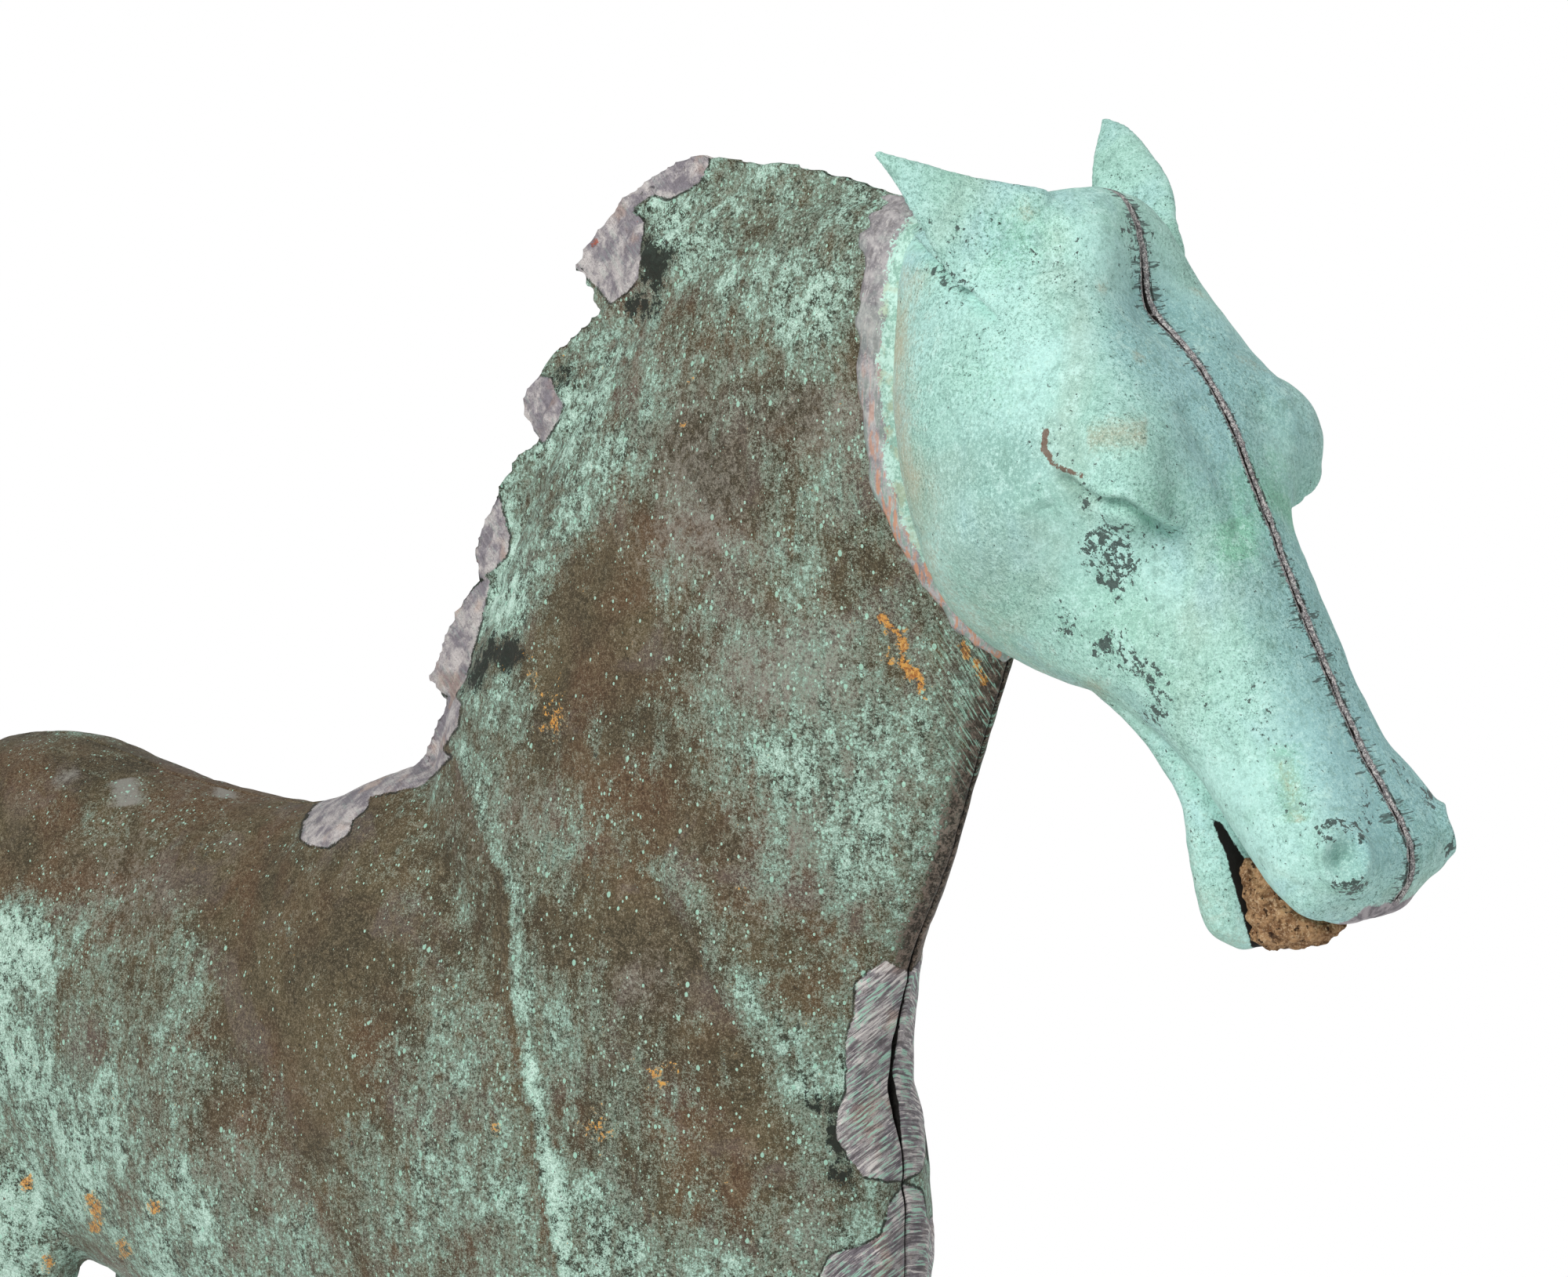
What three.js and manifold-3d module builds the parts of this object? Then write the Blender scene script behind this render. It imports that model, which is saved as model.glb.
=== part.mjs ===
// A trotting-horse weathervane: a hollow copper horse with a cast metal head, soldered together from
// right and left halves, turning freely on an iron spindle that stands in a round iron foot.
// Millimetres, +Z up. The origin is on the spindle's axis, at the underside of the foot.
// The horse faces +X, and its right side faces -Y.

import * as THREE from "three";
import { mergeVertices } from "three/addons/utils/BufferGeometryUtils.js";
import Module from "manifold-3d";

const wasm = await Module();
wasm.setup();

// ---- driving sizes ----

const withersHeight = 577; // from the underside of the foot to the top of the shoulders
const trunkLength = 540; // breast to buttock
const trunkDepth = 230; // withers to girth
const trunkWidth = 124; // across the barrel
const neckLength = 300; // withers to poll
const neckWidth = 100; // across the root of the neck
const headLength = 207; // poll to nostril
const headDepth = 97; // face to cheek
const headWidth = 92; // across the brows
const foreLegLength = 315; // shoulder to hoof
const hindLegLength = 400; // haunch to hoof
const legWidth = 24; // across a forearm
const foreLegSpread = 62; // between the centre planes of the forelegs
const hindLegSpread = 68; // between the centre planes of the hind legs
const tailLength = 200; // dock to tip
const tailWidth = 34; // across the switch
const headTilt = 30.1; // degrees that the face leans forward of plumb

const copperWall = 1.2; // hammered sheet
const castWall = 2; // cast head
const maneThickness = 3.4; // both soldered edges of the crest together
const seamGap = 0.3; // between the right and left halves
const seatGap = 0.3; // between a piece and what it is soldered to
const overrun = 5; // how far a cut passes the face that it opens
const weld = 0.001; // corners closer than this are one corner

const spindleDiameter = 14;
const spindleTip = 12; // length of the pointed end
const tubeBore = 16;
const tubeWall = 1.5;
const tubeBelow = 13; // how far the tube shows below the belly
const tubeHeight = 202; // lower end to upper end
const capLength = 14; // thrust cap inside the top of the tube
const capFlange = 2.5;
const bushLength = 16;
const bushFlange = 3;
const bushFlangeWidth = 3; // beyond the tube, all round
const runningGap = 0.3; // bush round the spindle
const collarDiameter = 50; // soldered plate where the tube meets the belly
const collarThickness = 2.2;
const strapWidth = 18;
const strapThickness = 2;
const upperStrapShare = 0.42; // of the trunk's depth, below the withers
const lowerStrapShare = 0.86;

const footDiameter = 230;
const footThickness = 9;
const footEdge = 2.5; // rounding of the rim
const hubDiameter = 40;
const hubHeight = 40;
const hubFillet = 12;
const spindleSeat = 4; // iron left under the spindle
const boltHole = 9;
const boltInset = 20; // from the rim to a hole's centre
const boltCount = 4;
const setScrew = 8;
const setScrewHead = 13; // across the flats of its square head
const setScrewHeadDepth = 7;
const setScrewShow = 3; // bare thread between the hub and the head

const spindleShare = 0.3556; // of the trunk's length, behind the breast

// ---- form tables: each number is a share of the size named beside it ----

// [behind the breast (length), top, bottom (depth below the withers), half width (width), widest level]
const trunkShares = [
  [0, 0.413, 0.739, 0.075, 0.5],
  [0.009, 0.33, 0.843, 0.12, 0.5],
  [0.035, 0.217, 0.922, 0.235, 0.52],
  [0.087, 0.13, 0.991, 0.36, 0.54],
  [0.17, 0.052, 1.043, 0.43, 0.55],
  [0.281, 0.01, 1.074, 0.46, 0.56],
  [0.407, 0, 1.078, 0.484, 0.56],
  [0.502, 0.085, 1.07, 0.5, 0.56],
  [0.567, 0.105, 1.05, 0.508, 0.55],
  [0.652, 0.102, 1.01, 0.5, 0.54],
  [0.7, 0.092, 0.98, 0.494, 0.52],
  [0.739, 0.08, 0.975, 0.484, 0.5],
  [0.794, 0.066, 0.93, 0.476, 0.48],
  [0.856, 0.083, 0.865, 0.452, 0.46],
  [0.911, 0.135, 0.79, 0.403, 0.46],
  [0.952, 0.209, 0.739, 0.339, 0.47],
  [0.981, 0.304, 0.683, 0.25, 0.48],
  [0.994, 0.383, 0.622, 0.161, 0.5],
  [1, 0.443, 0.565, 0.073, 0.5],
];

// [crest x, crest z, throat x, throat z (from the withers, length), half width (width), widest level]
const neckShares = [
  [0.027, -0.133, 0.68, -0.533, 0.5, 0.6],
  [0.04, 0.027, 0.712, -0.333, 0.47, 0.6],
  [0.107, 0.167, 0.724, -0.207, 0.42, 0.6],
  [0.193, 0.32, 0.747, -0.107, 0.37, 0.6],
  [0.293, 0.467, 0.787, 0, 0.32, 0.6],
  [0.413, 0.593, 0.83, 0.12, 0.27, 0.6],
  [0.553, 0.663, 0.873, 0.24, 0.24, 0.58],
  [0.693, 0.677, 0.907, 0.34, 0.22, 0.56],
  [0.8, 0.657, 0.927, 0.433, 0.17, 0.55],
];

const throatKeel = 1.25; // above 1, the throat narrows to an edge

// [x, z (from the withers, neck length)]: the crest with its five locks, then back inside the neck
const maneShares = [
  [0.7, 0.684], [0.656, 0.696], [0.603, 0.705], [0.543, 0.712], [0.476, 0.715], [0.451, 0.717],
  [0.421, 0.713], [0.387, 0.7], [0.366, 0.687], [0.334, 0.673], [0.313, 0.656], [0.291, 0.635],
  [0.266, 0.61], [0.252, 0.591], [0.283, 0.573], [0.303, 0.555], [0.258, 0.526], [0.214, 0.495],
  [0.188, 0.468], [0.167, 0.439], [0.168, 0.427], [0.194, 0.397], [0.163, 0.382], [0.147, 0.367],
  [0.124, 0.337], [0.114, 0.317], [0.097, 0.29], [0.082, 0.259], [0.091, 0.233], [0.066, 0.208],
  [0.041, 0.171], [0.022, 0.134], [0.003, 0.101], [0.039, 0.087], [0.02, 0.061], [0.008, 0.039],
  [-0.005, 0.011], [-0.027, -0.012], [0.16, 0], [0.293, 0.267], [0.46, 0.533], [0.69, 0.61],
];

// [along, in (face), along, in (jaw), half width (width), widest level, roundness of the face], along
// the face from the poll (head length) and in from the face line (head depth); a low roundness is a flat face
const headShares = [
  [-0.032, 0.126, -0.113, 0.516, 0.087, 0.5, 1],
  [-0.008, 0.042, -0.12, 0.636, 0.196, 0.5, 0.9],
  [0.028, -0.007, -0.09, 0.777, 0.29, 0.45, 0.8],
  [0.1, -0.019, -0.005, 0.895, 0.372, 0.42, 0.7],
  [0.178, -0.018, 0.092, 0.976, 0.465, 0.4, 0.6],
  [0.252, -0.022, 0.196, 1.05, 0.52, 0.38, 0.5],
  [0.336, -0.028, 0.3, 1.105, 0.55, 0.34, 0.36],
  [0.39, -0.026, 0.385, 1.11, 0.55, 0.34, 0.36],
  [0.45, -0.018, 0.45, 1.08, 0.47, 0.36, 0.5],
  [0.511, -0.011, 0.508, 1, 0.41, 0.38, 0.95],
  [0.597, 0.001, 0.575, 0.855, 0.375, 0.42, 0.95],
  [0.684, 0.012, 0.625, 0.715, 0.352, 0.45, 0.85],
  [0.755, 0.017, 0.684, 0.615, 0.327, 0.48, 0.75],
  [0.829, 0.013, 0.758, 0.53, 0.312, 0.48, 0.65],
  [0.898, 0.004, 0.838, 0.475, 0.335, 0.42, 0.5],
  [0.95, -0.003, 0.913, 0.435, 0.36, 0.4, 0.4],
  [1, -0.001, 0.979, 0.4, 0.34, 0.42, 0.36],
  [1.038, 0.052, 1.028, 0.335, 0.275, 0.5, 0.45],
  [1.055, 0.14, 1.045, 0.27, 0.15, 0.5, 0.8],
];

// the lower jaw, in the same frame as the head
const jawShares = [
  [0.511, 0.442, 0.485, 0.887, 0.261, 0.5, 1],
  [0.582, 0.447, 0.558, 0.823, 0.261, 0.5, 1],
  [0.652, 0.438, 0.609, 0.745, 0.239, 0.5, 1],
  [0.717, 0.446, 0.672, 0.675, 0.206, 0.5, 1],
  [0.781, 0.455, 0.74, 0.632, 0.179, 0.5, 1],
  [0.838, 0.457, 0.806, 0.618, 0.17, 0.5, 1],
  [0.9, 0.478, 0.868, 0.665, 0.17, 0.5, 1],
  [0.958, 0.508, 0.93, 0.71, 0.17, 0.5, 1],
  [1.01, 0.532, 0.985, 0.718, 0.155, 0.5, 1],
  [1.036, 0.56, 1.025, 0.665, 0.085, 0.5, 1],
];

// [along (length), in (depth), reach (length), rise (width)]: bosses and hollows of the head's sides
const faceReliefShares = [
  [0.5, 0.3, 0.07, -0.045], // socket
  [0.465, 0.28, 0.04, 0.04], // eye
  [0.26, 0.66, 0.2, 0.05], // cheek
  [0.6, 0.42, 0.09, 0.03], // cheek bone
  [0.98, 0.07, 0.03, -0.06], // nostril
];

// the bony ridge over each eye: along (length), in (depth), sideways (width), and its half sizes (length)
const browShares = { along: 0.392, inward: 0.075, out: 0.445, size: [0.042, 0.04, 0.09] };

// [behind the breast (length), below the withers (depth), reach (length), rise (width)]: muscles and ribs
const bodyReliefShares = [
  [0.17, 0.62, 0.11, 0.06], // point of the shoulder
  [0.385, 0.5, 0.05, -0.045], // hollow behind the shoulder
  [0.7, 0.62, 0.09, -0.03], // flank
  [0.84, 0.5, 0.13, 0.07], // haunch
];

// [ahead, below (from the leg's root, length), half depth, half width (leg width)]
const supportForeShares = [
  [-0.048, 0, 1.5, 0.95],
  [-0.073, 0.143, 1.2, 0.82],
  [-0.108, 0.317, 0.82, 0.6],
  [-0.133, 0.49, 0.6, 0.48],
  [-0.143, 0.556, 0.6, 0.48],
  [-0.165, 0.619, 0.44, 0.36],
  [-0.197, 0.73, 0.36, 0.3],
  [-0.225, 0.819, 0.46, 0.38],
  [-0.216, 0.876, 0.36, 0.32],
  [-0.203, 0.914, 0.5, 0.46],
];
const liftedForeShares = [
  [0, 0, 1.6, 0.95],
  [0.048, 0.137, 1.25, 0.82],
  [0.127, 0.235, 0.9, 0.62],
  [0.213, 0.325, 0.64, 0.5],
  [0.257, 0.384, 0.6, 0.48],
  [0.254, 0.444, 0.46, 0.38],
  [0.225, 0.552, 0.36, 0.3],
  [0.203, 0.646, 0.46, 0.38],
  [0.171, 0.69, 0.36, 0.32],
  [0.14, 0.716, 0.5, 0.46],
];
const backHindShares = [
  [0, 0, 3.2, 1.2],
  [0.04, 0.137, 2.7, 1.15],
  [0.03, 0.275, 2.1, 0.98],
  [-0.04, 0.388, 1.4, 0.78],
  [-0.125, 0.49, 0.96, 0.6],
  [-0.202, 0.585, 0.8, 0.52],
  [-0.244, 0.65, 0.54, 0.4],
  [-0.29, 0.737, 0.42, 0.34],
  [-0.338, 0.822, 0.5, 0.4],
  [-0.366, 0.861, 0.38, 0.34],
  [-0.387, 0.887, 0.52, 0.46],
];
const underHindShares = [
  [0.03, 0, 3.2, 1.2],
  [0.11, 0.137, 2.7, 1.15],
  [0.138, 0.263, 2, 0.98],
  [0.1, 0.388, 1.4, 0.78],
  [0.048, 0.5, 0.96, 0.6],
  [0.008, 0.613, 0.8, 0.52],
  [0.028, 0.69, 0.54, 0.4],
  [0.078, 0.775, 0.42, 0.34],
  [0.13, 0.862, 0.5, 0.4],
  [0.158, 0.905, 0.38, 0.34],
  [0.17, 0.938, 0.52, 0.46],
];
const hoofFlareShares = [1.28, 1.3]; // sole half depth and half width, of the top of the hoof
const hoofLengthShare = 1.05; // of the leg's width
const foreRootShares = [0.133, 0.826]; // behind the breast (length), below the withers (depth)
const hindRootShares = [0.845, 0.42];
const upperLegRows = 3; // rows of a leg's table that the body half carries

// [behind the dock, above the dock (length), half depth, half width (tail width)]
const tailShares = [
  [-0.1, -0.06, 0.5, 0.34],
  [0.02, 0.01, 0.52, 0.36],
  [0.14, 0.05, 0.56, 0.4],
  [0.3, 0.02, 0.66, 0.46],
  [0.46, -0.1, 0.76, 0.5],
  [0.6, -0.3, 0.8, 0.5],
  [0.7, -0.54, 0.76, 0.44],
  [0.76, -0.8, 0.6, 0.34],
  [0.77, -1.02, 0.36, 0.22],
  [0.765, -1.12, 0.12, 0.1],
];
const dockShares = [0.965, 0.235]; // behind the breast (length), below the withers (depth)

// [along, in, sideways (front edge), along, in, sideways (rear edge), half thickness], from the root to the tip
const rightEarShares = [
  [0, 0.16, 0.14, 0.15, 0.42, 0.27, 0.075],
  [-0.024, 0.106, 0.2, 0.075, 0.41, 0.33, 0.065],
  [-0.058, 0.176, 0.285, 0, 0.405, 0.39, 0.054],
  [-0.1, 0.26, 0.39, -0.065, 0.4, 0.455, 0.04],
  [-0.142, 0.34, 0.48, -0.125, 0.39, 0.51, 0.026],
  [-0.166, 0.38, 0.54, -0.158, 0.39, 0.545, 0.012],
];
const leftEarShares = [
  [0.13, 0.13, 0.24, 0.13, 0.42, 0.25, 0.075],
  [0.093, 0.067, 0.29, 0.06, 0.39, 0.3, 0.065],
  [0.037, 0.068, 0.35, -0.01, 0.35, 0.3, 0.054],
  [-0.028, 0.075, 0.413, -0.06, 0.31, 0.33, 0.045],
  [-0.14, 0.183, 0.5, -0.13, 0.295, 0.44, 0.026],
  [-0.183, 0.265, 0.52, -0.178, 0.275, 0.52, 0.009],
];

// [along, in]: outline of the nest of dried mud that fills the mouth
const nestShares = [
  [0.906, 0.5], [0.929, 0.45], [0.985, 0.4], [1.03, 0.35], [1.045, 0.315], [1.062, 0.335],
  [1.067, 0.416], [1.047, 0.5], [1.012, 0.54], [0.958, 0.53],
];
const nestFullnessShares = [[-1, 0.45], [-0.7, 0.85], [0, 1], [0.7, 0.85], [1, 0.45]]; // [sideways, size]
const nestWidthShare = 0.28; // of the head's width

// ---- counts ----

const trunkFacets = 20;
const neckFacets = 20;
const headFacets = 22;
const jawFacets = 12;
const earFacets = 10;
const browFacets = 12;
const legFacets = 10;
const tailFacets = 10;
const turnedFacets = 24; // spindle, tube and foot

// ---- solids ----

// A closed geometry as a solid, whichever way its faces were wound, with its corners on a fine grid so
// that any two of them are either one or clearly apart.
function solidOf(geometry) {
  const bare = new THREE.BufferGeometry();
  const snapped = Float32Array.from(geometry.attributes.position.array, (v) => Math.round(v / weld) * weld);
  bare.setAttribute("position", new THREE.BufferAttribute(snapped, 3));
  bare.setIndex(geometry.index);
  const merged = mergeVertices(bare, weld);
  const kept = [];
  for (let i = 0; i < merged.index.count; i += 3) {
    const [a, b, c] = merged.index.array.slice(i, i + 3);
    if (a !== b && b !== c && c !== a) kept.push(a, b, c);
  }
  const triVerts = new Uint32Array(kept);
  const vertProperties = merged.attributes.position.array;
  if (signedVolume(vertProperties, triVerts) < 0) {
    for (let i = 0; i < triVerts.length; i += 3) {
      [triVerts[i + 1], triVerts[i + 2]] = [triVerts[i + 2], triVerts[i + 1]];
    }
  }
  return new wasm.Manifold(new wasm.Mesh({ numProp: 3, vertProperties, triVerts }));
}

function signedVolume(positions, triangles) {
  const [a, b, c] = [new THREE.Vector3(), new THREE.Vector3(), new THREE.Vector3()];
  let volume = 0;
  for (let i = 0; i < triangles.length; i += 3) {
    a.fromArray(positions, triangles[i] * 3);
    b.fromArray(positions, triangles[i + 1] * 3);
    c.fromArray(positions, triangles[i + 2] * 3);
    volume += a.dot(b.cross(c));
  }
  return volume;
}

function geometryOf(solid) {
  const { numProp, vertProperties, triVerts } = solid.getMesh();
  const geometry = new THREE.BufferGeometry();
  const positions = new Float32Array((vertProperties.length / numProp) * 3);
  for (let i = 0; i < positions.length / 3; i++) {
    positions.set(vertProperties.subarray(i * numProp, i * numProp + 3), i * 3);
  }
  geometry.setAttribute("position", new THREE.BufferAttribute(positions, 3));
  geometry.setIndex(new THREE.BufferAttribute(triVerts, 1));
  const flat = geometry.toNonIndexed();
  flat.computeVertexNormals();
  return flat;
}

const join = (...solids) => solids.reduce((whole, next) => whole.add(next));

// The largest body of a solid, without the crumbs that a cut can leave.
function mainBody(solid) {
  return solid.decompose().reduce((best, next) => (next.volume() > best.volume() ? next : best));
}

// A closed loft through rings of equal length.
function loft(rings) {
  const count = rings[0].length;
  const positions = rings.flat().flatMap((point) => point.toArray());
  const index = [];
  for (let i = 0; i + 1 < rings.length; i++) {
    for (let j = 0; j < count; j++) {
      const here = i * count + j;
      const beside = i * count + ((j + 1) % count);
      index.push(here, beside, here + count, beside, beside + count, here + count);
    }
  }
  for (const [ring, first] of [[rings[0], 0], [rings.at(-1), (rings.length - 1) * count]]) {
    const centre = ring.reduce((sum, point) => sum.add(point), new THREE.Vector3());
    const middle = positions.length / 3;
    positions.push(...centre.divideScalar(count).toArray());
    for (let j = 0; j < count; j++) {
      const [here, beside] = [first + j, first + ((j + 1) % count)];
      index.push(...(first ? [here, beside, middle] : [beside, here, middle]));
    }
  }
  const geometry = new THREE.BufferGeometry();
  geometry.setAttribute("position", new THREE.Float32BufferAttribute(positions, 3));
  geometry.setIndex(index);
  return solidOf(geometry);
}

// Rows of a table, joined by a smooth curve in each column, with a number of steps between rows.
function smooth(rows, steps) {
  const made = [];
  for (let i = 0; i + 1 < rows.length; i++) {
    const [before, from, to, after] = [i - 1, i, i + 1, i + 2].map(
      (k) => rows[Math.min(Math.max(k, 0), rows.length - 1)],
    );
    for (let j = 0; j < steps; j++) {
      const t = j / steps;
      made.push(from.map((p, k) => curveAt(before[k], p, to[k], after[k], t)));
    }
  }
  made.push(rows.at(-1));
  return made;
}

// The Catmull-Rom curve through b and c at t.
function curveAt(a, b, c, d, t) {
  const [slopeB, slopeC] = [(c - a) / 2, (d - b) / 2];
  const [t2, t3] = [t * t, t * t * t];
  return b * (2 * t3 - 3 * t2 + 1) + slopeB * (t3 - 2 * t2 + t) + c * (3 * t2 - 2 * t3) + slopeC * (t3 - t2);
}

// A section is an oval from point a to point b in the XZ plane, { a, b, half, widest, centre },
// and its roundness and keel shape its flanks before and behind the widest level.
// inset draws it in on all sides, and bend may move each of its points.
function ringOf(section, facets, inset, bend) {
  const { a, b, half, widest, centre, roundness = 1, keel = 1 } = section;
  const depth = a.distanceTo(b);
  const drawn = Math.min(inset / depth, 0.45);
  const width = Math.max(half - inset, half * 0.1);
  return Array.from({ length: facets }, (_, k) => {
    const turn = (2 * Math.PI * k) / facets;
    const [across, fore] = [Math.sin(turn), Math.cos(turn)];
    const share = drawn + (fore > 0 ? widest * (1 - fore) : widest - fore * (1 - widest)) * (1 - 2 * drawn);
    const side = Math.sign(across) * Math.abs(across) ** (fore > 0 ? roundness : keel);
    const point = new THREE.Vector3(a.x + (b.x - a.x) * share, centre + width * side, a.y + (b.y - a.y) * share);
    return bend ? bend(point, side) : point;
  });
}

const loftOf = (sections, facets, inset = 0, bend) =>
  loft(sections.map((section) => ringOf(section, facets, inset, bend)));

// The same sections drawn together about the middle of their run, so that each end moves in by a distance.
function drawnIn(sections, distance) {
  const middleOf = ({ a, b }) => a.clone().lerp(b, 0.5);
  const [first, last] = [middleOf(sections[0]), middleOf(sections.at(-1))];
  const middle = first.clone().lerp(last, 0.5);
  const run = last.clone().sub(first);
  const shrink = (2 * distance) / run.length();
  run.normalize();
  return sections.map((section) => {
    const back = run.clone().multiplyScalar(-shrink * middleOf(section).sub(middle).dot(run));
    return { ...section, a: section.a.clone().add(back), b: section.b.clone().add(back) };
  });
}

// Moves a point sideways, away from the centre plane, by the bosses and hollows of a relief.
function reliefOf(bosses) {
  return (point, side) => {
    const rise = bosses.reduce((sum, { x, z, reach, height }) => {
      const away = ((point.x - x) ** 2 + (point.z - z) ** 2) / reach ** 2;
      return sum + height * Math.exp(-away);
    }, 0);
    point.y += rise * side;
    return point;
  };
}

const reach = trunkLength + neckLength + headLength + hindLegLength; // longer than the horse

// All that lies on one side of the plane y = centre: side 1 is left and -1 right.
function sideOf(side, centre = 0) {
  const box = new THREE.BoxGeometry(2 * reach, reach, 2 * reach);
  box.translate(0, centre + (side * (reach + seamGap)) / 2, 0);
  return solidOf(box);
}

function cylinder(radius, from, to, facets = turnedFacets) {
  const rod = new THREE.CylinderGeometry(radius, radius, to - from, facets);
  rod.rotateX(Math.PI / 2);
  rod.translate(0, 0, (from + to) / 2);
  return solidOf(rod);
}

// A solid turned about Z from points [radius, z], which start and end on the axis or close on themselves.
function turned(points, facets = turnedFacets) {
  const lathe = new THREE.LatheGeometry(points.map(([r, z]) => new THREE.Vector2(r, z)), facets);
  lathe.rotateX(Math.PI / 2);
  return solidOf(lathe);
}

// A flat outline in the XZ plane, given thickness about the plane y = 0.
function plate(points, thickness) {
  const shape = new THREE.Shape(points.map(([x, z]) => new THREE.Vector2(x, z)));
  const sheet = new THREE.ExtrudeGeometry(shape, { depth: thickness, bevelEnabled: false });
  sheet.rotateX(Math.PI / 2);
  sheet.translate(0, thickness / 2, 0);
  return solidOf(sheet);
}

// ---- the horse's form, from the withers, with the spindle's axis at x = 0 ----

const behindBreast = (share) => trunkLength * (spindleShare - share);
const belowWithers = (share) => -trunkDepth * share;

const trunkRows = trunkShares.map(([along, top, bottom, half, widest]) => ({
  a: new THREE.Vector2(behindBreast(along), belowWithers(top)),
  b: new THREE.Vector2(behindBreast(along), belowWithers(bottom)),
  half: half * trunkWidth,
  widest,
  centre: 0,
}));

const withers = new THREE.Vector2(behindBreast(0.407), 0);
const fromWithers = (x, z) => new THREE.Vector2(withers.x + x * neckLength, withers.y + z * neckLength);

const neckRows = neckShares.map(([cx, cz, tx, tz, half, widest]) => ({
  a: fromWithers(cx, cz),
  b: fromWithers(tx, tz),
  half: half * neckWidth,
  widest,
  keel: throatKeel,
  centre: 0,
}));

// The head's own frame: along the face from the poll, and in from the face towards the jaw.
const poll = fromWithers(0.99, 0.693);
const tilt = THREE.MathUtils.degToRad(headTilt);
const alongFace = new THREE.Vector2(Math.sin(tilt), -Math.cos(tilt));
const inFromFace = new THREE.Vector2(-Math.cos(tilt), -Math.sin(tilt));

function onHead(along, inward) {
  const point = poll.clone();
  point.addScaledVector(alongFace, along * headLength);
  return point.addScaledVector(inFromFace, inward * headDepth);
}

const headSections = (shares) =>
  shares.map(([along, inward, alongB, inwardB, half, widest, roundness]) => ({
    a: onHead(along, inward),
    b: onHead(alongB, inwardB),
    half: half * headWidth,
    widest,
    roundness,
    centre: 0,
  }));

const headRows = headSections(headShares);
const jawRows = headSections(jawShares);

const faceRelief = reliefOf(
  faceReliefShares.map(([along, inward, size, rise]) => {
    const { x, y: z } = onHead(along, inward);
    return { x, z, reach: size * headLength, height: rise * headWidth };
  }),
);

const bodyRelief = reliefOf(
  bodyReliefShares.map(([along, down, size, rise]) => ({
    x: behindBreast(along),
    z: belowWithers(down),
    reach: size * trunkLength,
    height: rise * trunkWidth,
  })),
);

// Sections along a limb from rows [x, z, half depth, half width], each square to the limb's line.
function limbSections(rows, centre) {
  return rows.map(([x, z, deep, half], i) => {
    const [from, to] = [rows[Math.max(i - 1, 0)], rows[Math.min(i + 1, rows.length - 1)]];
    const run = new THREE.Vector2(to[0] - from[0], to[1] - from[1]).normalize();
    const across = new THREE.Vector2(-run.y, run.x).multiplyScalar(deep);
    const middle = new THREE.Vector2(x, z);
    return { a: middle.clone().add(across), b: middle.clone().sub(across), half, widest: 0.5, centre };
  });
}

// ---- body halves ----

function legOf({ shares, root, length, centre }) {
  const [rootX, rootZ] = [behindBreast(root[0]), belowWithers(root[1])];
  const rows = shares.map(([ahead, below, deep, half]) => [
    rootX + ahead * length,
    rootZ - below * length,
    deep * legWidth,
    half * legWidth,
  ]);
  const sections = limbSections(rows, centre);
  return { upper: sections.slice(0, upperLegRows), lower: sections.slice(upperLegRows - 1) };
}

const legs = {
  fore_right: { shares: liftedForeShares, root: foreRootShares, length: foreLegLength, centre: -foreLegSpread / 2 },
  fore_left: { shares: supportForeShares, root: foreRootShares, length: foreLegLength, centre: foreLegSpread / 2 },
  hind_right: { shares: backHindShares, root: hindRootShares, length: hindLegLength, centre: -hindLegSpread / 2 },
  hind_left: { shares: underHindShares, root: hindRootShares, length: hindLegLength, centre: hindLegSpread / 2 },
};

// Sections carried on past their last one, so that a hollow opens there.
function carriedOn(sections, distance) {
  const [before, last] = sections.slice(-2);
  const step = last.a.clone().add(last.b).sub(before.a).sub(before.b).setLength(distance);
  return [...sections, { ...last, a: last.a.clone().add(step), b: last.b.clone().add(step) }];
}

const trunkSolid = (inset) => loftOf(drawnIn(trunkRows, inset), trunkFacets, inset, bodyRelief);
const neckSolid = (inset) => loftOf(neckRows, neckFacets, inset);
const manePlate = plate(maneShares.map(([x, z]) => fromWithers(x, z).toArray()), maneThickness);
const beltLine = belowWithers(trunkShares[6][2]); // lowest line of the belly, near the spindle
const tubeBottom = beltLine - tubeBelow;
const tubeTop = tubeBottom + tubeHeight;
const tubeRadius = tubeBore / 2 + tubeWall;
const tubeHole = cylinder(tubeRadius + seatGap, tubeBottom - overrun, tubeBottom + tubeHeight / 2);

const trunkOuter = trunkSolid(0);
const trunkInner = trunkSolid(copperWall);
const neckOuter = neckSolid(0);
const neckInner = loftOf(carriedOn(neckRows, overrun), neckFacets, copperWall);
const neckGrown = neckSolid(-seatGap);
const trunkGrown = trunkSolid(-seatGap);

function bodyHalf(side, ownLegs) {
  const uppers = ownLegs.map((leg) => loftOf(leg.upper, legFacets));
  const hollows = ownLegs.map((leg) => loftOf(carriedOn(leg.upper, overrun), legFacets, copperWall));
  const skin = join(trunkOuter, neckOuter, manePlate, ...uppers);
  const hollow = join(trunkInner, neckInner, ...hollows);
  return mainBody(skin.subtract(hollow).subtract(tubeHole).intersect(sideOf(side)));
}

// ---- head halves ----

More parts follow.
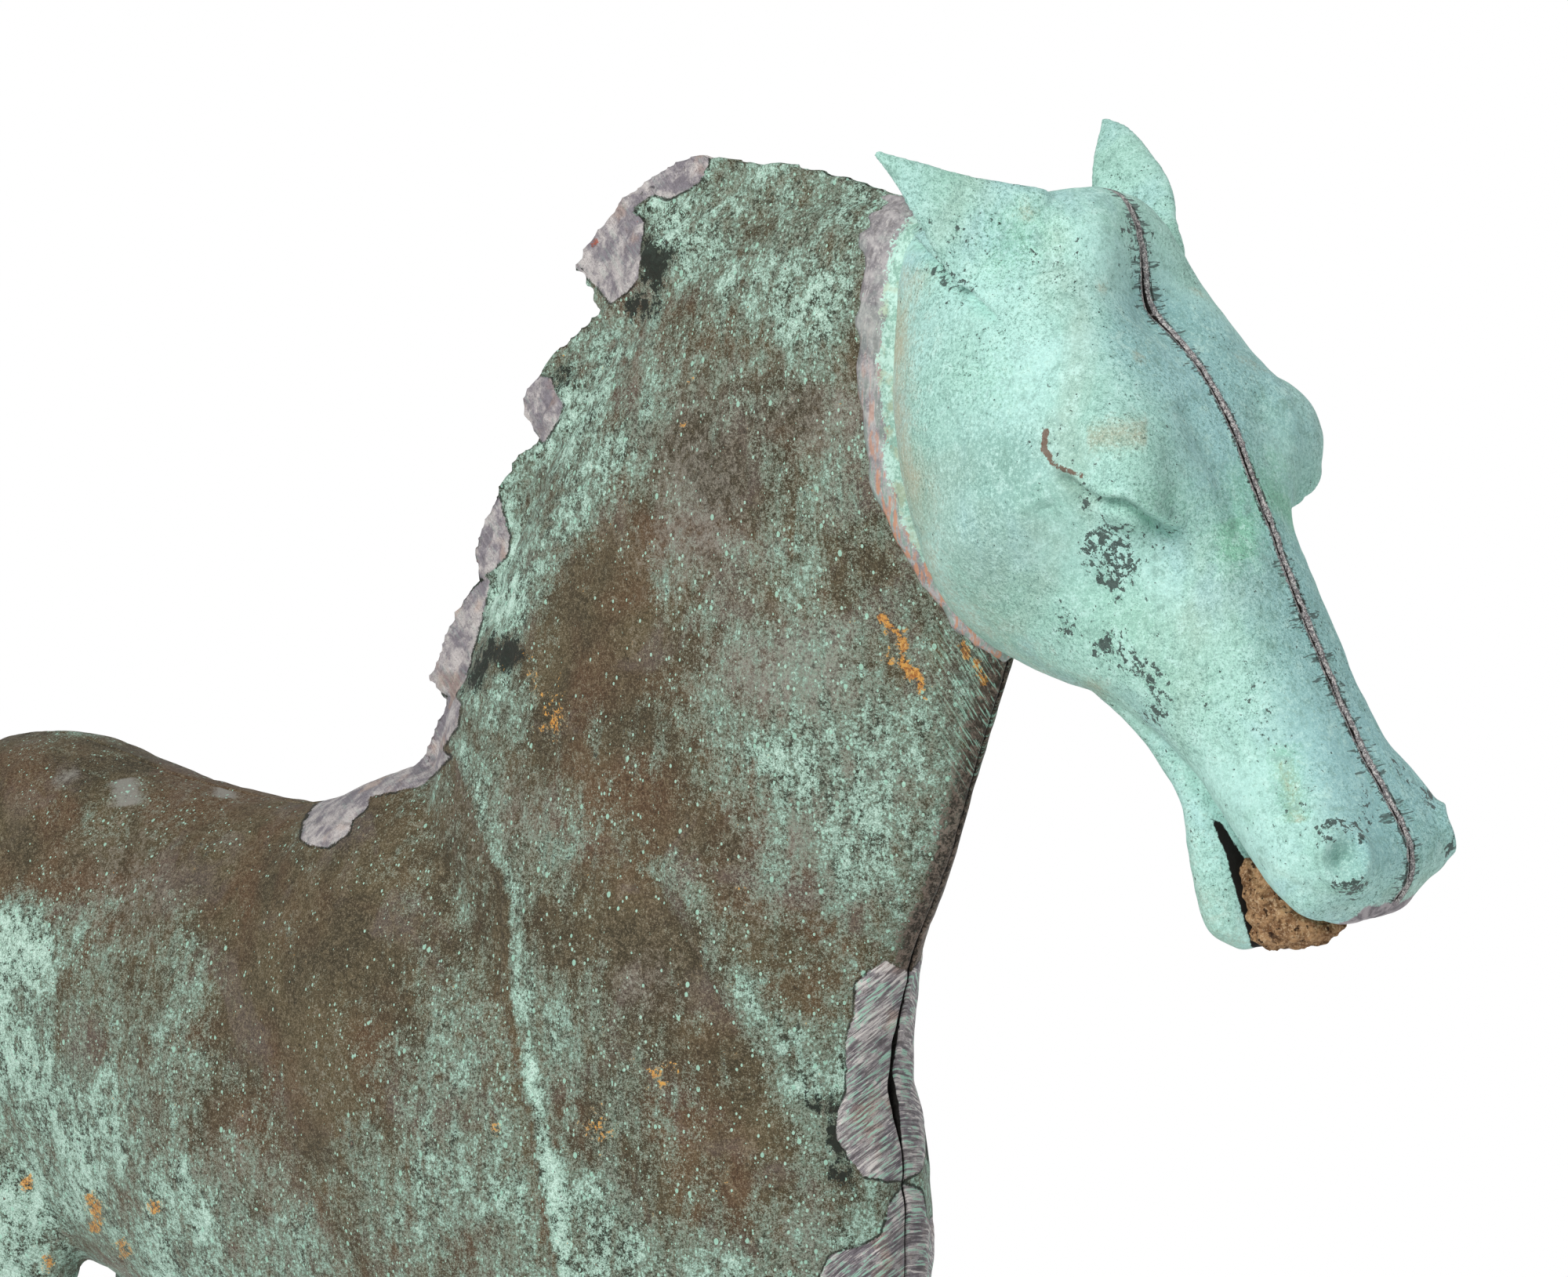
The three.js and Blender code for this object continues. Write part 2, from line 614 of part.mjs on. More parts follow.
// A leaf between its front and rear edges, from the root inside the head to the tip.
function earSolid(side) {
  const edges = (side < 0 ? rightEarShares : leftEarShares).map((row) => {
    const [front, rear] = [row.slice(0, 3), row.slice(3, 6)].map(([along, inward, out]) => {
      const { x, y: z } = onHead(along, inward);
      return new THREE.Vector3(x, side * out * headWidth, z);
    });
    return { front, rear, thickness: row[6] * headWidth, middle: front.clone().lerp(rear, 0.5) };
  });
  const rings = edges.map(({ front, rear, thickness, middle }, i) => {
    const [before, after] = [edges[Math.max(i - 1, 0)], edges[Math.min(i + 1, edges.length - 1)]];
    const run = after.middle.clone().sub(before.middle);
    const across = front.clone().sub(rear).multiplyScalar(0.5);
    const thick = new THREE.Vector3().crossVectors(run, across).setLength(thickness);
    return Array.from({ length: earFacets }, (_, k) => {
      const turn = (2 * Math.PI * k) / earFacets;
      return middle.clone().addScaledVector(across, Math.cos(turn)).addScaledVector(thick, Math.sin(turn));
    });
  });
  return loft(rings);
}

const headSolid = (inset) => loftOf(drawnIn(headRows, inset), headFacets, inset, faceRelief);
const jawSolid = (inset) => loftOf(drawnIn(jawRows, inset), jawFacets, inset);
const headOuter = headSolid(0);
const jawOuter = jawSolid(0);
const headHollow = join(headSolid(castWall), jawSolid(castWall));

// The ridge over an eye, its long way along the face.
function browSolid(side) {
  const { along, inward, out, size } = browShares;
  const ridge = new THREE.SphereGeometry(1, browFacets, browFacets / 2);
  ridge.scale(...size.map((share) => share * headLength));
  ridge.rotateY(-tilt);
  const { x, y: z } = onHead(along, inward);
  ridge.translate(x, side * out * headWidth, z);
  return solidOf(ridge);
}

function headHalf(side) {
  const skin = join(headOuter, jawOuter, earSolid(side), browSolid(side));
  return mainBody(skin.subtract(headHollow).subtract(neckGrown).intersect(sideOf(side)));
}

// The mud nest between the jaws, clear of both.
function nestSolid() {
  const outline = nestShares.map(([along, inward]) => onHead(along, inward));
  const middle = outline.reduce((sum, point) => sum.add(point), new THREE.Vector2()).divideScalar(outline.length);
  const rings = nestFullnessShares.map(([out, size]) =>
    outline.map((point) => {
      const { x, y: z } = middle.clone().lerp(point, size);
      return new THREE.Vector3(x, (out * nestWidthShare * headWidth) / 2, z);
    }),
  );
  const blank = loft(rings);
  return mainBody(blank.subtract(headSolid(-seatGap)).subtract(jawSolid(-seatGap)));
}

// The bead of solder round the neck, along the head's rear edge.
function neckJointSolder() {
  const [beadWidth, beadRise] = [castWall * 3, copperWall * 1.5];
  const rim = join(headSolid(-seatGap), jawSolid(-seatGap));
  const shifted = headOuter.translate([-beadWidth, 0, 0]);
  return mainBody(neckSolid(-beadRise).intersect(shifted).subtract(rim).subtract(neckGrown).subtract(manePlate));
}

// ---- lower legs, hooves and tail ----

// A hollow limb's right or left half, about its own centre plane.
function limbHalf(sections, facets, side, openEnd) {
  const skin = loftOf(sections, facets);
  const start = carriedOn([sections[1], sections[0]], overrun).at(-1);
  const end = openEnd ? carriedOn(sections, overrun) : sections.slice(0, -1);
  const hollow = loftOf([start, ...end], facets, copperWall);
  return mainBody(skin.subtract(hollow).subtract(trunkGrown).intersect(sideOf(side, sections[0].centre)));
}

// The same sections, with the first moved on by the seat's gap so that the limb meets what carries it.
function seated(sections) {
  const [first, second] = sections;
  const step = second.a.clone().add(second.b).sub(first.a).sub(first.b).setLength(seatGap);
  return [{ ...first, a: first.a.clone().add(step), b: first.b.clone().add(step) }, ...sections.slice(1)];
}

function hoofSolid(sections) {
  const [before, top] = sections.slice(-2);
  const run = top.a.clone().add(top.b).sub(before.a).sub(before.b).normalize();
  const [deep, wide] = hoofFlareShares;
  const middle = top.a.clone().add(top.b).multiplyScalar(0.5);
  const across = top.a.clone().sub(top.b).multiplyScalar(0.5);
  const ring = (distance, deepScale, wideScale) => {
    const centre = middle.clone().addScaledVector(run, distance);
    return {
      ...top,
      a: centre.clone().addScaledVector(across, deepScale),
      b: centre.clone().addScaledVector(across, -deepScale),
      half: top.half * wideScale,
    };
  };
  const length = hoofLengthShare * legWidth;
  return loftOf([ring(seatGap, 1, 1), ring(length * 0.9, deep, wide), ring(length, deep * 0.96, wide * 0.96)], legFacets);
}

function tailSections() {
  const [dockX, dockZ] = [behindBreast(dockShares[0]), belowWithers(dockShares[1])];
  const rows = tailShares.map(([back, up, deep, half]) => [
    dockX - back * tailLength,
    dockZ + up * tailLength,
    deep * tailWidth,
    half * tailWidth,
  ]);
  return limbSections(rows, 0);
}

function tailHalf(side) {
  const sections = tailSections();
  const hollow = loftOf(sections.slice(0, -2), tailFacets, copperWall);
  const skin = loftOf(sections, tailFacets).subtract(hollow);
  return mainBody(skin.subtract(trunkGrown).intersect(sideOf(side)));
}

// ---- spindle fittings inside the horse ----

function tubeSolid() {
  const bore = cylinder(tubeBore / 2, tubeBottom - overrun, tubeTop + overrun);
  return cylinder(tubeRadius, tubeBottom, tubeTop).subtract(bore);
}

const cupDepth = spindleTip / 2;
const pointTop = tubeTop - capLength + cupDepth - 2 * seatGap; // the spindle's point, inside the cup

// A plug in the top of the tube, with a conical cup that turns on the spindle's point.
function capSolid() {
  const plug = tubeBore / 2 - seatGap;
  return turned([
    [0, tubeTop - capLength + cupDepth],
    [spindleDiameter / 4, tubeTop - capLength],
    [plug, tubeTop - capLength],
    [plug, tubeTop + seatGap],
    [tubeRadius, tubeTop + seatGap],
    [tubeRadius, tubeTop + seatGap + capFlange],
    [0, tubeTop + seatGap + capFlange],
  ]);
}

function bushSolid() {
  const bore = spindleDiameter / 2 + runningGap;
  const [low, high] = [tubeBottom - seatGap - bushFlange, tubeBottom + bushLength];
  return turned([
    [bore, low],
    [tubeRadius + bushFlangeWidth, low],
    [tubeRadius + bushFlangeWidth, low + bushFlange],
    [tubeBore / 2 - seatGap, low + bushFlange],
    [tubeBore / 2 - seatGap, high],
    [bore, high],
    [bore, low],
  ]);
}

// A soldered plate round the tube, its upper face shaped to the belly.
function bellyCollar() {
  const disc = cylinder(collarDiameter / 2, beltLine - collarThickness, beltLine + collarDiameter / 4);
  return mainBody(disc.subtract(trunkGrown).subtract(tubeHole));
}

// A flat strap from wall to wall inside the body, with a hole for the tube.
function strapSolid(share) {
  const level = belowWithers(share);
  const bar = new THREE.BoxGeometry(strapWidth + 2 * tubeRadius, trunkWidth + overrun, strapThickness);
  bar.translate(0, 0, level);
  const hole = cylinder(tubeRadius + seatGap, level - overrun, level + overrun);
  return mainBody(solidOf(bar).intersect(trunkSolid(copperWall + seatGap)).subtract(hole));
}

// ---- spindle and foot, from the underside of the foot ----

function spindleSolid() {
  const radius = spindleDiameter / 2;
  const top = withersHeight + pointTop;
  return turned([[0, spindleSeat + seatGap], [radius, spindleSeat + seatGap], [radius, top - spindleTip], [0, top]]);
}

function footSolid() {
  const [rim, hub] = [footDiameter / 2, hubDiameter / 2];
  const edge = [0, 1, 2].map((k) => {
    const turn = (Math.PI / 2) * (k / 2);
    return [rim - footEdge + footEdge * Math.cos(turn), footThickness - footEdge + footEdge * Math.sin(turn)];
  });
  const fillet = [0, 1, 2, 3, 4].map((k) => {
    const turn = (Math.PI / 2) * (k / 4);
    return [hub + hubFillet - hubFillet * Math.sin(turn), footThickness + hubFillet - hubFillet * Math.cos(turn)];
  });
  const dish = turned([
    [0, 0], [rim, 0], ...edge, ...fillet,
    [hub, hubHeight - footEdge], [hub - footEdge, hubHeight], [0, hubHeight],
  ], 1.5 * turnedFacets);
  const bore = cylinder(spindleDiameter / 2 + seatGap, spindleSeat, hubHeight + overrun);
  const holes = Array.from({ length: boltCount }, (_, k) => {
    const turn = (2 * Math.PI * (k + 0.5)) / boltCount;
    const hole = cylinder(boltHole / 2, -overrun, footThickness + overrun, turnedFacets / 2);
    return hole.translate([(rim - boltInset) * Math.cos(turn), (rim - boltInset) * Math.sin(turn), 0]);
  });
  return dish.subtract(bore).subtract(join(...holes)).subtract(screwHole());
}

const screwHeight = (footThickness + hubFillet + hubHeight) / 2 + footEdge;
const alongX = ([x, y, z]) => [z, y, x];

function screwHole() {
  const hole = new THREE.CylinderGeometry(setScrew / 2 + seatGap, setScrew / 2 + seatGap, hubDiameter, turnedFacets / 2);
  hole.rotateZ(Math.PI / 2);
  hole.translate(hubDiameter / 2, 0, screwHeight);
  return solidOf(hole);
}

function screwSolid() {
  const [tip, neck] = [spindleDiameter / 2 + 2 * seatGap, hubDiameter / 2 + setScrewShow];
  const shank = new THREE.CylinderGeometry(setScrew / 2, setScrew / 2, neck + overrun - tip, turnedFacets / 2);
  shank.rotateZ(Math.PI / 2);
  shank.translate((tip + neck + overrun) / 2, 0, 0);
  const head = new THREE.BoxGeometry(setScrewHeadDepth, setScrewHead, setScrewHead);
  head.translate(neck + setScrewHeadDepth / 2, 0, 0);
  return solidOf(shank).add(solidOf(head));
}

// ---- materials ----

const finish = (color, roughness, metalness) => new THREE.MeshStandardMaterial({ color, roughness, metalness });
const brownCopper = finish(0x5e5546, 0.62, 0.45);
const greenHead = finish(0x86bfae, 0.78, 0.15);
const greenCopper = finish(0x6d8f7e, 0.72, 0.25);
const leadSolder = finish(0x8b8588, 0.6, 0.5);
const driedMud = finish(0x96693c, 0.95, 0);
const brass = finish(0xa08045, 0.45, 0.8);
const bronze = finish(0x8a6a3a, 0.4, 0.8);
const steel = finish(0x55504c, 0.55, 0.7);
const castIron = finish(0x2b2a29, 0.7, 0.5);

// ---- assembly ----

function piece(parent, name, solid, material, z = 0) {
  const mesh = new THREE.Mesh(geometryOf(mainBody(solidOf(geometryOf(solid)))), material);
  mesh.name = name;
  mesh.position.z = z;
  parent.add(mesh);
}

function stand() {
  const group = new THREE.Group();
  piece(group, "roof_foot", footSolid(), castIron);
  piece(group, "spindle_rod", spindleSolid(), steel);
  piece(group, "hub_set_screw", screwSolid(), steel, screwHeight);
  return group;
}

function bearings(horse) {
  piece(horse, "spindle_tube", tubeSolid(), brass);
  piece(horse, "thrust_cap", capSolid(), bronze);
  piece(horse, "guide_bush", bushSolid(), bronze);
  piece(horse, "belly_collar", bellyCollar(), greenCopper);
  piece(horse, "tube_strap_upper", strapSolid(upperStrapShare), greenCopper);
  piece(horse, "tube_strap_lower", strapSolid(lowerStrapShare), greenCopper);
}

function horse() {
  const group = new THREE.Group();
  group.position.z = withersHeight;
  for (const [word, side] of [["right", -1], ["left", 1]]) {
    const own = ["fore", "hind"].map((end) => legOf(legs[`${end}_${word}`]));
    piece(group, `body_${word}`, bodyHalf(side, own), brownCopper);
    piece(group, `head_${word}`, headHalf(side), greenHead);
    piece(group, `tail_${word}`, tailHalf(side), brownCopper);
    for (const [leg, end] of own.map((made, i) => [made, ["fore", "hind"][i]])) {
      const lower = seated(leg.lower);
      piece(group, `${end}_leg_${word}_outer`, limbHalf(lower, legFacets, side, true), greenCopper);
      piece(group, `${end}_leg_${word}_inner`, limbHalf(lower, legFacets, -side, true), greenCopper);
      piece(group, `${end}_hoof_${word}`, hoofSolid(leg.lower), leadSolder);
    }
  }
  piece(group, "neck_joint_solder", neckJointSolder(), leadSolder);
  piece(group, "mouth_nest", nestSolid(), driedMud);
  bearings(group);
  return group;
}

const weathervane = new THREE.Group();
weathervane.add(stand(), horse());

export default weathervane;
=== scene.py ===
import math

import bmesh
import bpy
import numpy as np
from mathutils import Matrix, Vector
from mathutils.bvhtree import BVHTree


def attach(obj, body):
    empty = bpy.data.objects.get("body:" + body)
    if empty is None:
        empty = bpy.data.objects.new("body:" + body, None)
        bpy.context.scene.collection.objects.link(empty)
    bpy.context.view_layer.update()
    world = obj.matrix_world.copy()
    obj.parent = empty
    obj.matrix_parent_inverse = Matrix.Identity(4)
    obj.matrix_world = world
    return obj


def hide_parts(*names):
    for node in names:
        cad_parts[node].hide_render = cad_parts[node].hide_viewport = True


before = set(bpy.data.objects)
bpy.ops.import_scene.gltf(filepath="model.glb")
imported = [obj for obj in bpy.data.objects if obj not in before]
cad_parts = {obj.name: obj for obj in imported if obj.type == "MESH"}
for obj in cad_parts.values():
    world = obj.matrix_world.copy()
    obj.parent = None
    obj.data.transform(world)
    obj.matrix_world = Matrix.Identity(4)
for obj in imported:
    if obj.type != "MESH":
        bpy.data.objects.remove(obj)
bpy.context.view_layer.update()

# A weathered full-bodied copper horse weathervane. Lengths are millimetres, or shares of the sizes
# below, in the horse's own frame: x = 0 on the spindle, z = 0 at the withers, its right side towards -y.

WITHERS = 577.0  # above the foot's underside
TRUNK_LENGTH, TRUNK_DEPTH, TRUNK_WIDTH = 540.0, 230.0, 124.0
NECK_LENGTH, NECK_WIDTH = 300.0, 100.0
HEAD_LENGTH, HEAD_DEPTH, HEAD_WIDTH = 207.0, 97.0, 92.0
FORE_LENGTH, HIND_LENGTH, LEG_WIDTH = 315.0, 400.0, 24.0
TAIL_LENGTH, TAIL_WIDTH = 200.0, 34.0
TILT = math.radians(30.1)  # of the face, forward of plumb
SPINDLE_SHARE = 0.3556  # of the trunk's length, behind the breast
BREAST_X = 150.0  # the breast and the throat's edge lie ahead of this
LEGS_APART_X = -20.0  # the fore legs are ahead of this, the hind legs behind it
TRUNK_UNDER = -262.0  # the trunk ends above this
HALF_GAP = 0.15  # from a seam's middle to each half
GAP_LABEL = 0.1  # faces nearer than this to a seam's middle lie in its gap

BODY_VOXEL = 1.7
HEAD_VOXEL = 0.95
NEST_VOXEL = 0.75


# ---------- camera and light ----------

PHOTO_WIDTH, PHOTO_MIDDLE = 2000, (1000, 814.5)  # pixels
LENS, SENSOR = 81.0, 36.0
FOCAL = LENS / SENSOR * PHOTO_WIDTH  # pixels
AIM = Vector((0.140, 0.0, 0.640))
AZ, EL, FAR = math.radians(42), math.radians(9), 1.125
TO_CAMERA = Vector((math.sin(AZ) * math.cos(EL), -math.cos(AZ) * math.cos(EL), math.sin(EL)))


def link(name, data):
    ob = bpy.data.objects.new(name, data)
    bpy.context.scene.collection.objects.link(ob)
    return ob


def camera():
    data = bpy.data.cameras.new("camera")
    data.lens = LENS
    data.sensor_width = SENSOR
    data.sensor_fit = "HORIZONTAL"
    data.clip_end = 60.0
    cam = link("camera", data)
    cam.location = AIM + TO_CAMERA * FAR
    cam.rotation_euler = TO_CAMERA.to_track_quat("Z", "Y").to_euler()
    bpy.context.scene.camera = cam


def area(name, place, size, power):
    data = bpy.data.lights.new(name, "AREA")
    data.shape = "DISK"
    data.size = size
    data.energy = power
    lamp = link(name, data)
    lamp.location = place
    lamp.rotation_euler = (Vector(place) - AIM).to_track_quat("Z", "Y").to_euler()


def studio_world():
    """Soft pale light on the object, and plain white where the camera sees past it."""
    world = bpy.data.worlds.new("studio")
    bpy.context.scene.world = world
    world.use_nodes = True
    tree = world.node_tree
    tree.nodes.clear()
    out, pick, path = (tree.nodes.new("ShaderNode" + kind) for kind in ("OutputWorld", "MixShader", "LightPath"))
    tree.links.new(path.outputs["Is Camera Ray"], pick.inputs[0])
    for socket, color, strength in ((1, (0.95, 0.98, 1.0, 1), 0.42), (2, (1, 1, 1, 1), 1.0)):
        light = tree.nodes.new("ShaderNodeBackground")
        light.inputs[0].default_value = color
        light.inputs[1].default_value = strength
        tree.links.new(light.outputs[0], pick.inputs[socket])
    tree.links.new(pick.outputs[0], out.inputs[0])


camera()
area("key", (0.2, -2.5, 2.35), 1.5, 71)
area("fill", (2.6, -1.2, 1.3), 2.0, 8)
area("rim", (0.2, 2.6, 2.2), 2.0, 22)
studio_world()
bpy.context.scene.view_settings.view_transform = "Standard"


# ---------- node helpers ----------

def rgb(text):
    """A colour written as it looks, RRGGBB, as linear numbers."""
    parts = [int(text[i:i + 2], 16) / 255 for i in (0, 2, 4)]
    return tuple(p / 12.92 if p <= 0.04045 else ((p + 0.055) / 1.055) ** 2.4 for p in parts)


class Value:
    """A value or a colour in a node tree, to reckon with."""

    def __init__(self, nodes, socket):
        self.nodes, self.socket = nodes, socket

    def __add__(self, other):
        return self.nodes.math("ADD", self, other)

    def __sub__(self, number):
        return self + -number

    def __rsub__(self, number):
        return self.nodes.math("SUBTRACT", number, self)

    def __mul__(self, other):
        return self.nodes.math("MULTIPLY", self, other)

    def __abs__(self):
        return self.nodes.math("ABSOLUTE", self)

    def step(self, low, high, to=(0.0, 1.0), kind="SMOOTHSTEP"):
        """Passes from one end of to over to the other while this passes from low to high."""
        n = self.nodes.new("ShaderNodeMapRange")
        n.interpolation_type = kind
        n.clamp = True
        return self.nodes.fed(n, self, low, high, *to)

    def coat(self, shade, where, low=None, high=None, amount=1.0):
        """This colour under a shade, which covers it as a value passes from low to high."""
        if low is not None:
            where = where.step(low, high, (0, amount))
        return self.nodes.mix(where, self, shade)


class Nodes:
    """A short way to write a material's node tree."""

    def __init__(self, name):
        self.mat = bpy.data.materials.new(name)
        self.mat.use_nodes = True
        self.tree = self.mat.node_tree
        self.tree.nodes.clear()
        self.out = self.new("ShaderNodeOutputMaterial")
        self.bsdf = self.new("ShaderNodeBsdfPrincipled")
        self.tree.links.new(self.bsdf.outputs[0], self.out.inputs[0])
        self.pos = Value(self, self.new("ShaderNodeTexCoord").outputs["Object"])

    def new(self, kind):
        return self.tree.nodes.new(kind)

    def feed(self, socket, value):
        if isinstance(value, Value):
            self.tree.links.new(value.socket, socket)
        elif socket.type == "RGBA":
            socket.default_value = (*(rgb(value) if isinstance(value, str) else value), 1)
        else:
            socket.default_value = value

    def fed(self, node, *values):
        for socket, value in zip(node.inputs, values):
            self.feed(socket, value)
        return Value(self, node.outputs[0])

    def math(self, op, *values):
        n = self.new("ShaderNodeMath")
        n.operation = op
        return self.fed(n, *values)

    def attrs(self, *names):
        made = []
        for name in names:
            n = self.new("ShaderNodeAttribute")
            n.attribute_name = name
            made.append(Value(self, n.outputs["Fac"]))
        return made

    def stretch(self, scale, turn=(0, 0, 0)):
        n = self.new("ShaderNodeMapping")
        n.inputs["Scale"].default_value = scale
        n.inputs["Rotation"].default_value = turn
        return self.fed(n, self.pos)

    def noise(self, scale, detail=3.0, rough=0.55, warp=0.0, vec=None):
        n = self.new("ShaderNodeTexNoise")
        self.feed(n.inputs["Vector"], vec or self.pos)
        for key, value in (("Scale", scale), ("Detail", detail), ("Roughness", rough), ("Distortion", warp)):
            n.inputs[key].default_value = value
        return Value(self, n.outputs["Fac"])

    def swing(self, *how):
        """Noise about zero."""
        return self.noise(*how) - 0.5

    def cells(self, scale, vec):
        """The distance to the nearest of scattered points, and each point's own colour."""
        n = self.new("ShaderNodeTexVoronoi")
        self.feed(n.inputs["Vector"], vec)
        n.inputs["Scale"].default_value = scale
        return Value(self, n.outputs["Distance"]), Value(self, n.outputs["Color"])

    def split(self, value, kind="XYZ"):
        n = self.new("ShaderNodeSeparate" + kind)
        self.feed(n.inputs[0], value)
        return [Value(self, socket) for socket in n.outputs]

    def mix(self, fac, a, b):
        n = self.new("ShaderNodeMix")
        n.data_type = "RGBA"
        for socket, value in ((0, fac), (6, a), (7, b)):
            self.feed(n.inputs[socket], value)
        return Value(self, n.outputs[2])

    def bump(self, height, strength, distance, under=None):
        n = self.new("ShaderNodeBump")
        n.inputs["Strength"].default_value = strength
        n.inputs["Distance"].default_value = distance
        self.feed(n.inputs["Height"], height)
        if under is not None:
            self.feed(n.inputs["Normal"], under)
        return Value(self, n.outputs[0])

    def done(self, color, rough, metal=0.0, normal=None):
        self.feed(self.bsdf.inputs["Base Color"], color)
        self.feed(self.bsdf.inputs["Roughness"], rough)
        self.feed(self.bsdf.inputs["Metallic"], metal)
        self.bsdf.inputs["Specular IOR Level"].default_value = 0.2
        if normal is not None:
            self.feed(self.bsdf.inputs["Normal"], normal)
        return self.mat


# ---------- floor ----------

def white_stage():
    """A pale floor that keeps the shadow, and turns plain white away from the object."""
    n = Nodes("studio white")
    path, glow, pick, away = (n.new("ShaderNode" + kind)
                              for kind in ("LightPath", "Emission", "MixShader", "VectorMath"))
    glow.inputs[0].default_value = (1, 1, 1, 1)
    glow.inputs[1].default_value = 1.0
    away.operation = "LENGTH"
    n.feed(away.inputs[0], n.pos)
    sees = n.math("MAXIMUM", *(Value(n, path.outputs[key]) for key in ("Is Camera Ray", "Is Glossy Ray")))
    n.feed(pick.inputs[0], sees * Value(n, away.outputs["Value"]).step(.25, .95, (.86, 1.0)))
    n.tree.links.new(n.bsdf.outputs[0], pick.inputs[1])
    n.tree.links.new(glow.outputs[0], pick.inputs[2])
    n.tree.links.new(pick.outputs[0], n.out.inputs[0])
    return n.done((0.86, 0.86, 0.86), 0.9)


def floor():
    bm = bmesh.new()
    bmesh.ops.create_circle(bm, cap_ends=True, radius=14.0, segments=96)
    me = bpy.data.meshes.new("floor")
    bm.to_mesh(me)
    bm.free()
    ob = link("floor", me)
    ob.location.z = -0.0005
    me.materials.append(white_stage())


floor()


# ---------- mesh helpers, all in millimetres in the horse's frame ----------

def curve(rows, steps):
    """Rows of a table with a smooth curve through each column."""
    r = np.array(rows, float)
    last = len(r) - 1
    made = []
    for i in range(last):
        p0, p1, p2, p3 = r[max(i - 1, 0)], r[i], r[i + 1], r[min(i + 2, last)]
        m1, m2 = (p2 - p0) / 2, (p3 - p1) / 2
        for t in np.arange(steps) / steps:
            made.append(p1 * (2 * t**3 - 3 * t * t + 1) + m1 * (t**3 - 2 * t * t + t)
                        + p2 * (3 * t * t - 2 * t**3) + m2 * (t**3 - t * t))
    made.append(r[-1])
    return np.array(made)


def unit(v):
    return v / np.linalg.norm(v)


def turns(count):
    return np.arange(count) * 2 * math.pi / count


def ring(a, b, half, widest=0.5, roundness=1.0, keel=1.0, centre=0.0, count=72):
    """An oval from a to b in the XZ plane."""
    s, c = np.sin(turns(count)), np.cos(turns(count))
    u = np.where(c > 0, widest * (1 - c), widest - c * (1 - widest))
    side = np.sign(s) * np.abs(s) ** np.where(c > 0, roundness, keel)
    return np.stack([a[0] + (b[0] - a[0]) * u, centre + half * side, a[1] + (b[1] - a[1]) * u], 1)


def belt(rings, count, around=False):
    """Quads between rings of count points; around also joins the last ring to the first."""
    i, j = np.meshgrid(np.arange(rings if around else rings - 1), np.arange(count), indexing="ij")
    here, there, beside = i * count, (i + 1) % rings * count, (j + 1) % count
    return np.stack([here + j, here + beside, there + beside, there + j], -1).reshape(-1, 4).tolist()


def loft(rings):
    """(points, faces) of a closed loft."""
    rings = np.array(rings)
    k, m = rings.shape[:2]
    v = np.concatenate([rings.reshape(-1, 3), rings[:1].mean(1), rings[-1:].mean(1)])
    j = np.arange(m)
    low = np.stack([(j + 1) % m, j, np.full(m, k * m)], 1).tolist()
    high = np.stack([j + (k - 1) * m, (j + 1) % m + (k - 1) * m, np.full(m, k * m + 1)], 1).tolist()
    return v, belt(k, m) + low + high


def ball(centre, size, turn, count=24):
    """An ellipsoid, turned about Y."""
    a = np.linspace(0.02, math.pi - 0.02, count)
    t = turns(count * 2)
    v = np.stack([np.outer(np.sin(a), np.cos(t)), np.outer(np.sin(a), np.sin(t)),
                  np.repeat(np.cos(a)[:, None], len(t), 1)], -1) * np.array(size)
    c, s = math.cos(turn), math.sin(turn)
    return loft(v @ np.array([[c, 0, -s], [0, 1, 0], [s, 0, c]]) + np.array(centre))


def slab(outline, thickness):
    """A flat outline in the XZ plane, given thickness about y = 0."""
    o = np.array(outline)
    n = len(o)
    v = np.concatenate([np.stack([o[:, 0], np.full(n, y), o[:, 1]], 1) for y in (-thickness / 2, thickness / 2)])
    j = np.arange(n)
    sides = np.stack([j, (j + 1) % n, (j + 1) % n + n, j + n], 1).tolist()
    return v, [list(range(n))[::-1], list(range(n, 2 * n))] + sides


def new_mesh(name, v, faces):
    me = bpy.data.meshes.new(name)
    me.from_pydata(np.asarray(v).tolist(), [], faces.tolist() if isinstance(faces, np.ndarray) else faces)
    me.update()
    return me


def fuse(parts, voxel):
    """One skin round overlapping closed parts, as (points, quads)."""
    v, f, n = [], [], 0
    for pv, pf in parts:
        v.append(pv)
        f += [[i + n for i in face] for face in pf]
        n += len(pv)
    me = new_mesh("blank", np.concatenate(v), f)
    ob = link("blank", me)
    mod = ob.modifiers.new("skin", "REMESH")
    mod.mode = "VOXEL"
    mod.voxel_size = voxel
    made = ob.evaluated_get(bpy.context.evaluated_depsgraph_get()).to_mesh()
    points = np.empty(len(made.vertices) * 3)
    made.vertices.foreach_get("co", points)
    loops = np.empty(len(made.loops), int)
    made.loops.foreach_get("vertex_index", loops)
    bpy.data.objects.remove(ob)
    bpy.data.meshes.remove(me)
    return points.reshape(-1, 3), loops.reshape(-1, 4)


def relax(v, quads, rounds, weight=1.0, back=0.61):
    """Smooths; without shrinking unless back is 0."""
    e = np.concatenate([quads[:, [k, (k + 1) % 4]] for k in range(4)])
    deg = np.maximum(np.bincount(e[:, 0], minlength=len(v)), 1)[:, None]
    w = np.broadcast_to(np.asarray(weight, float), len(v))[:, None]
    for k in range(rounds * 2):
        mean = np.stack([np.bincount(e[:, 0], v[e[:, 1], c], len(v)) for c in range(3)], 1) / deg
        v = v + (mean - v) * w * (0.6 if k % 2 == 0 else -back)
    return v


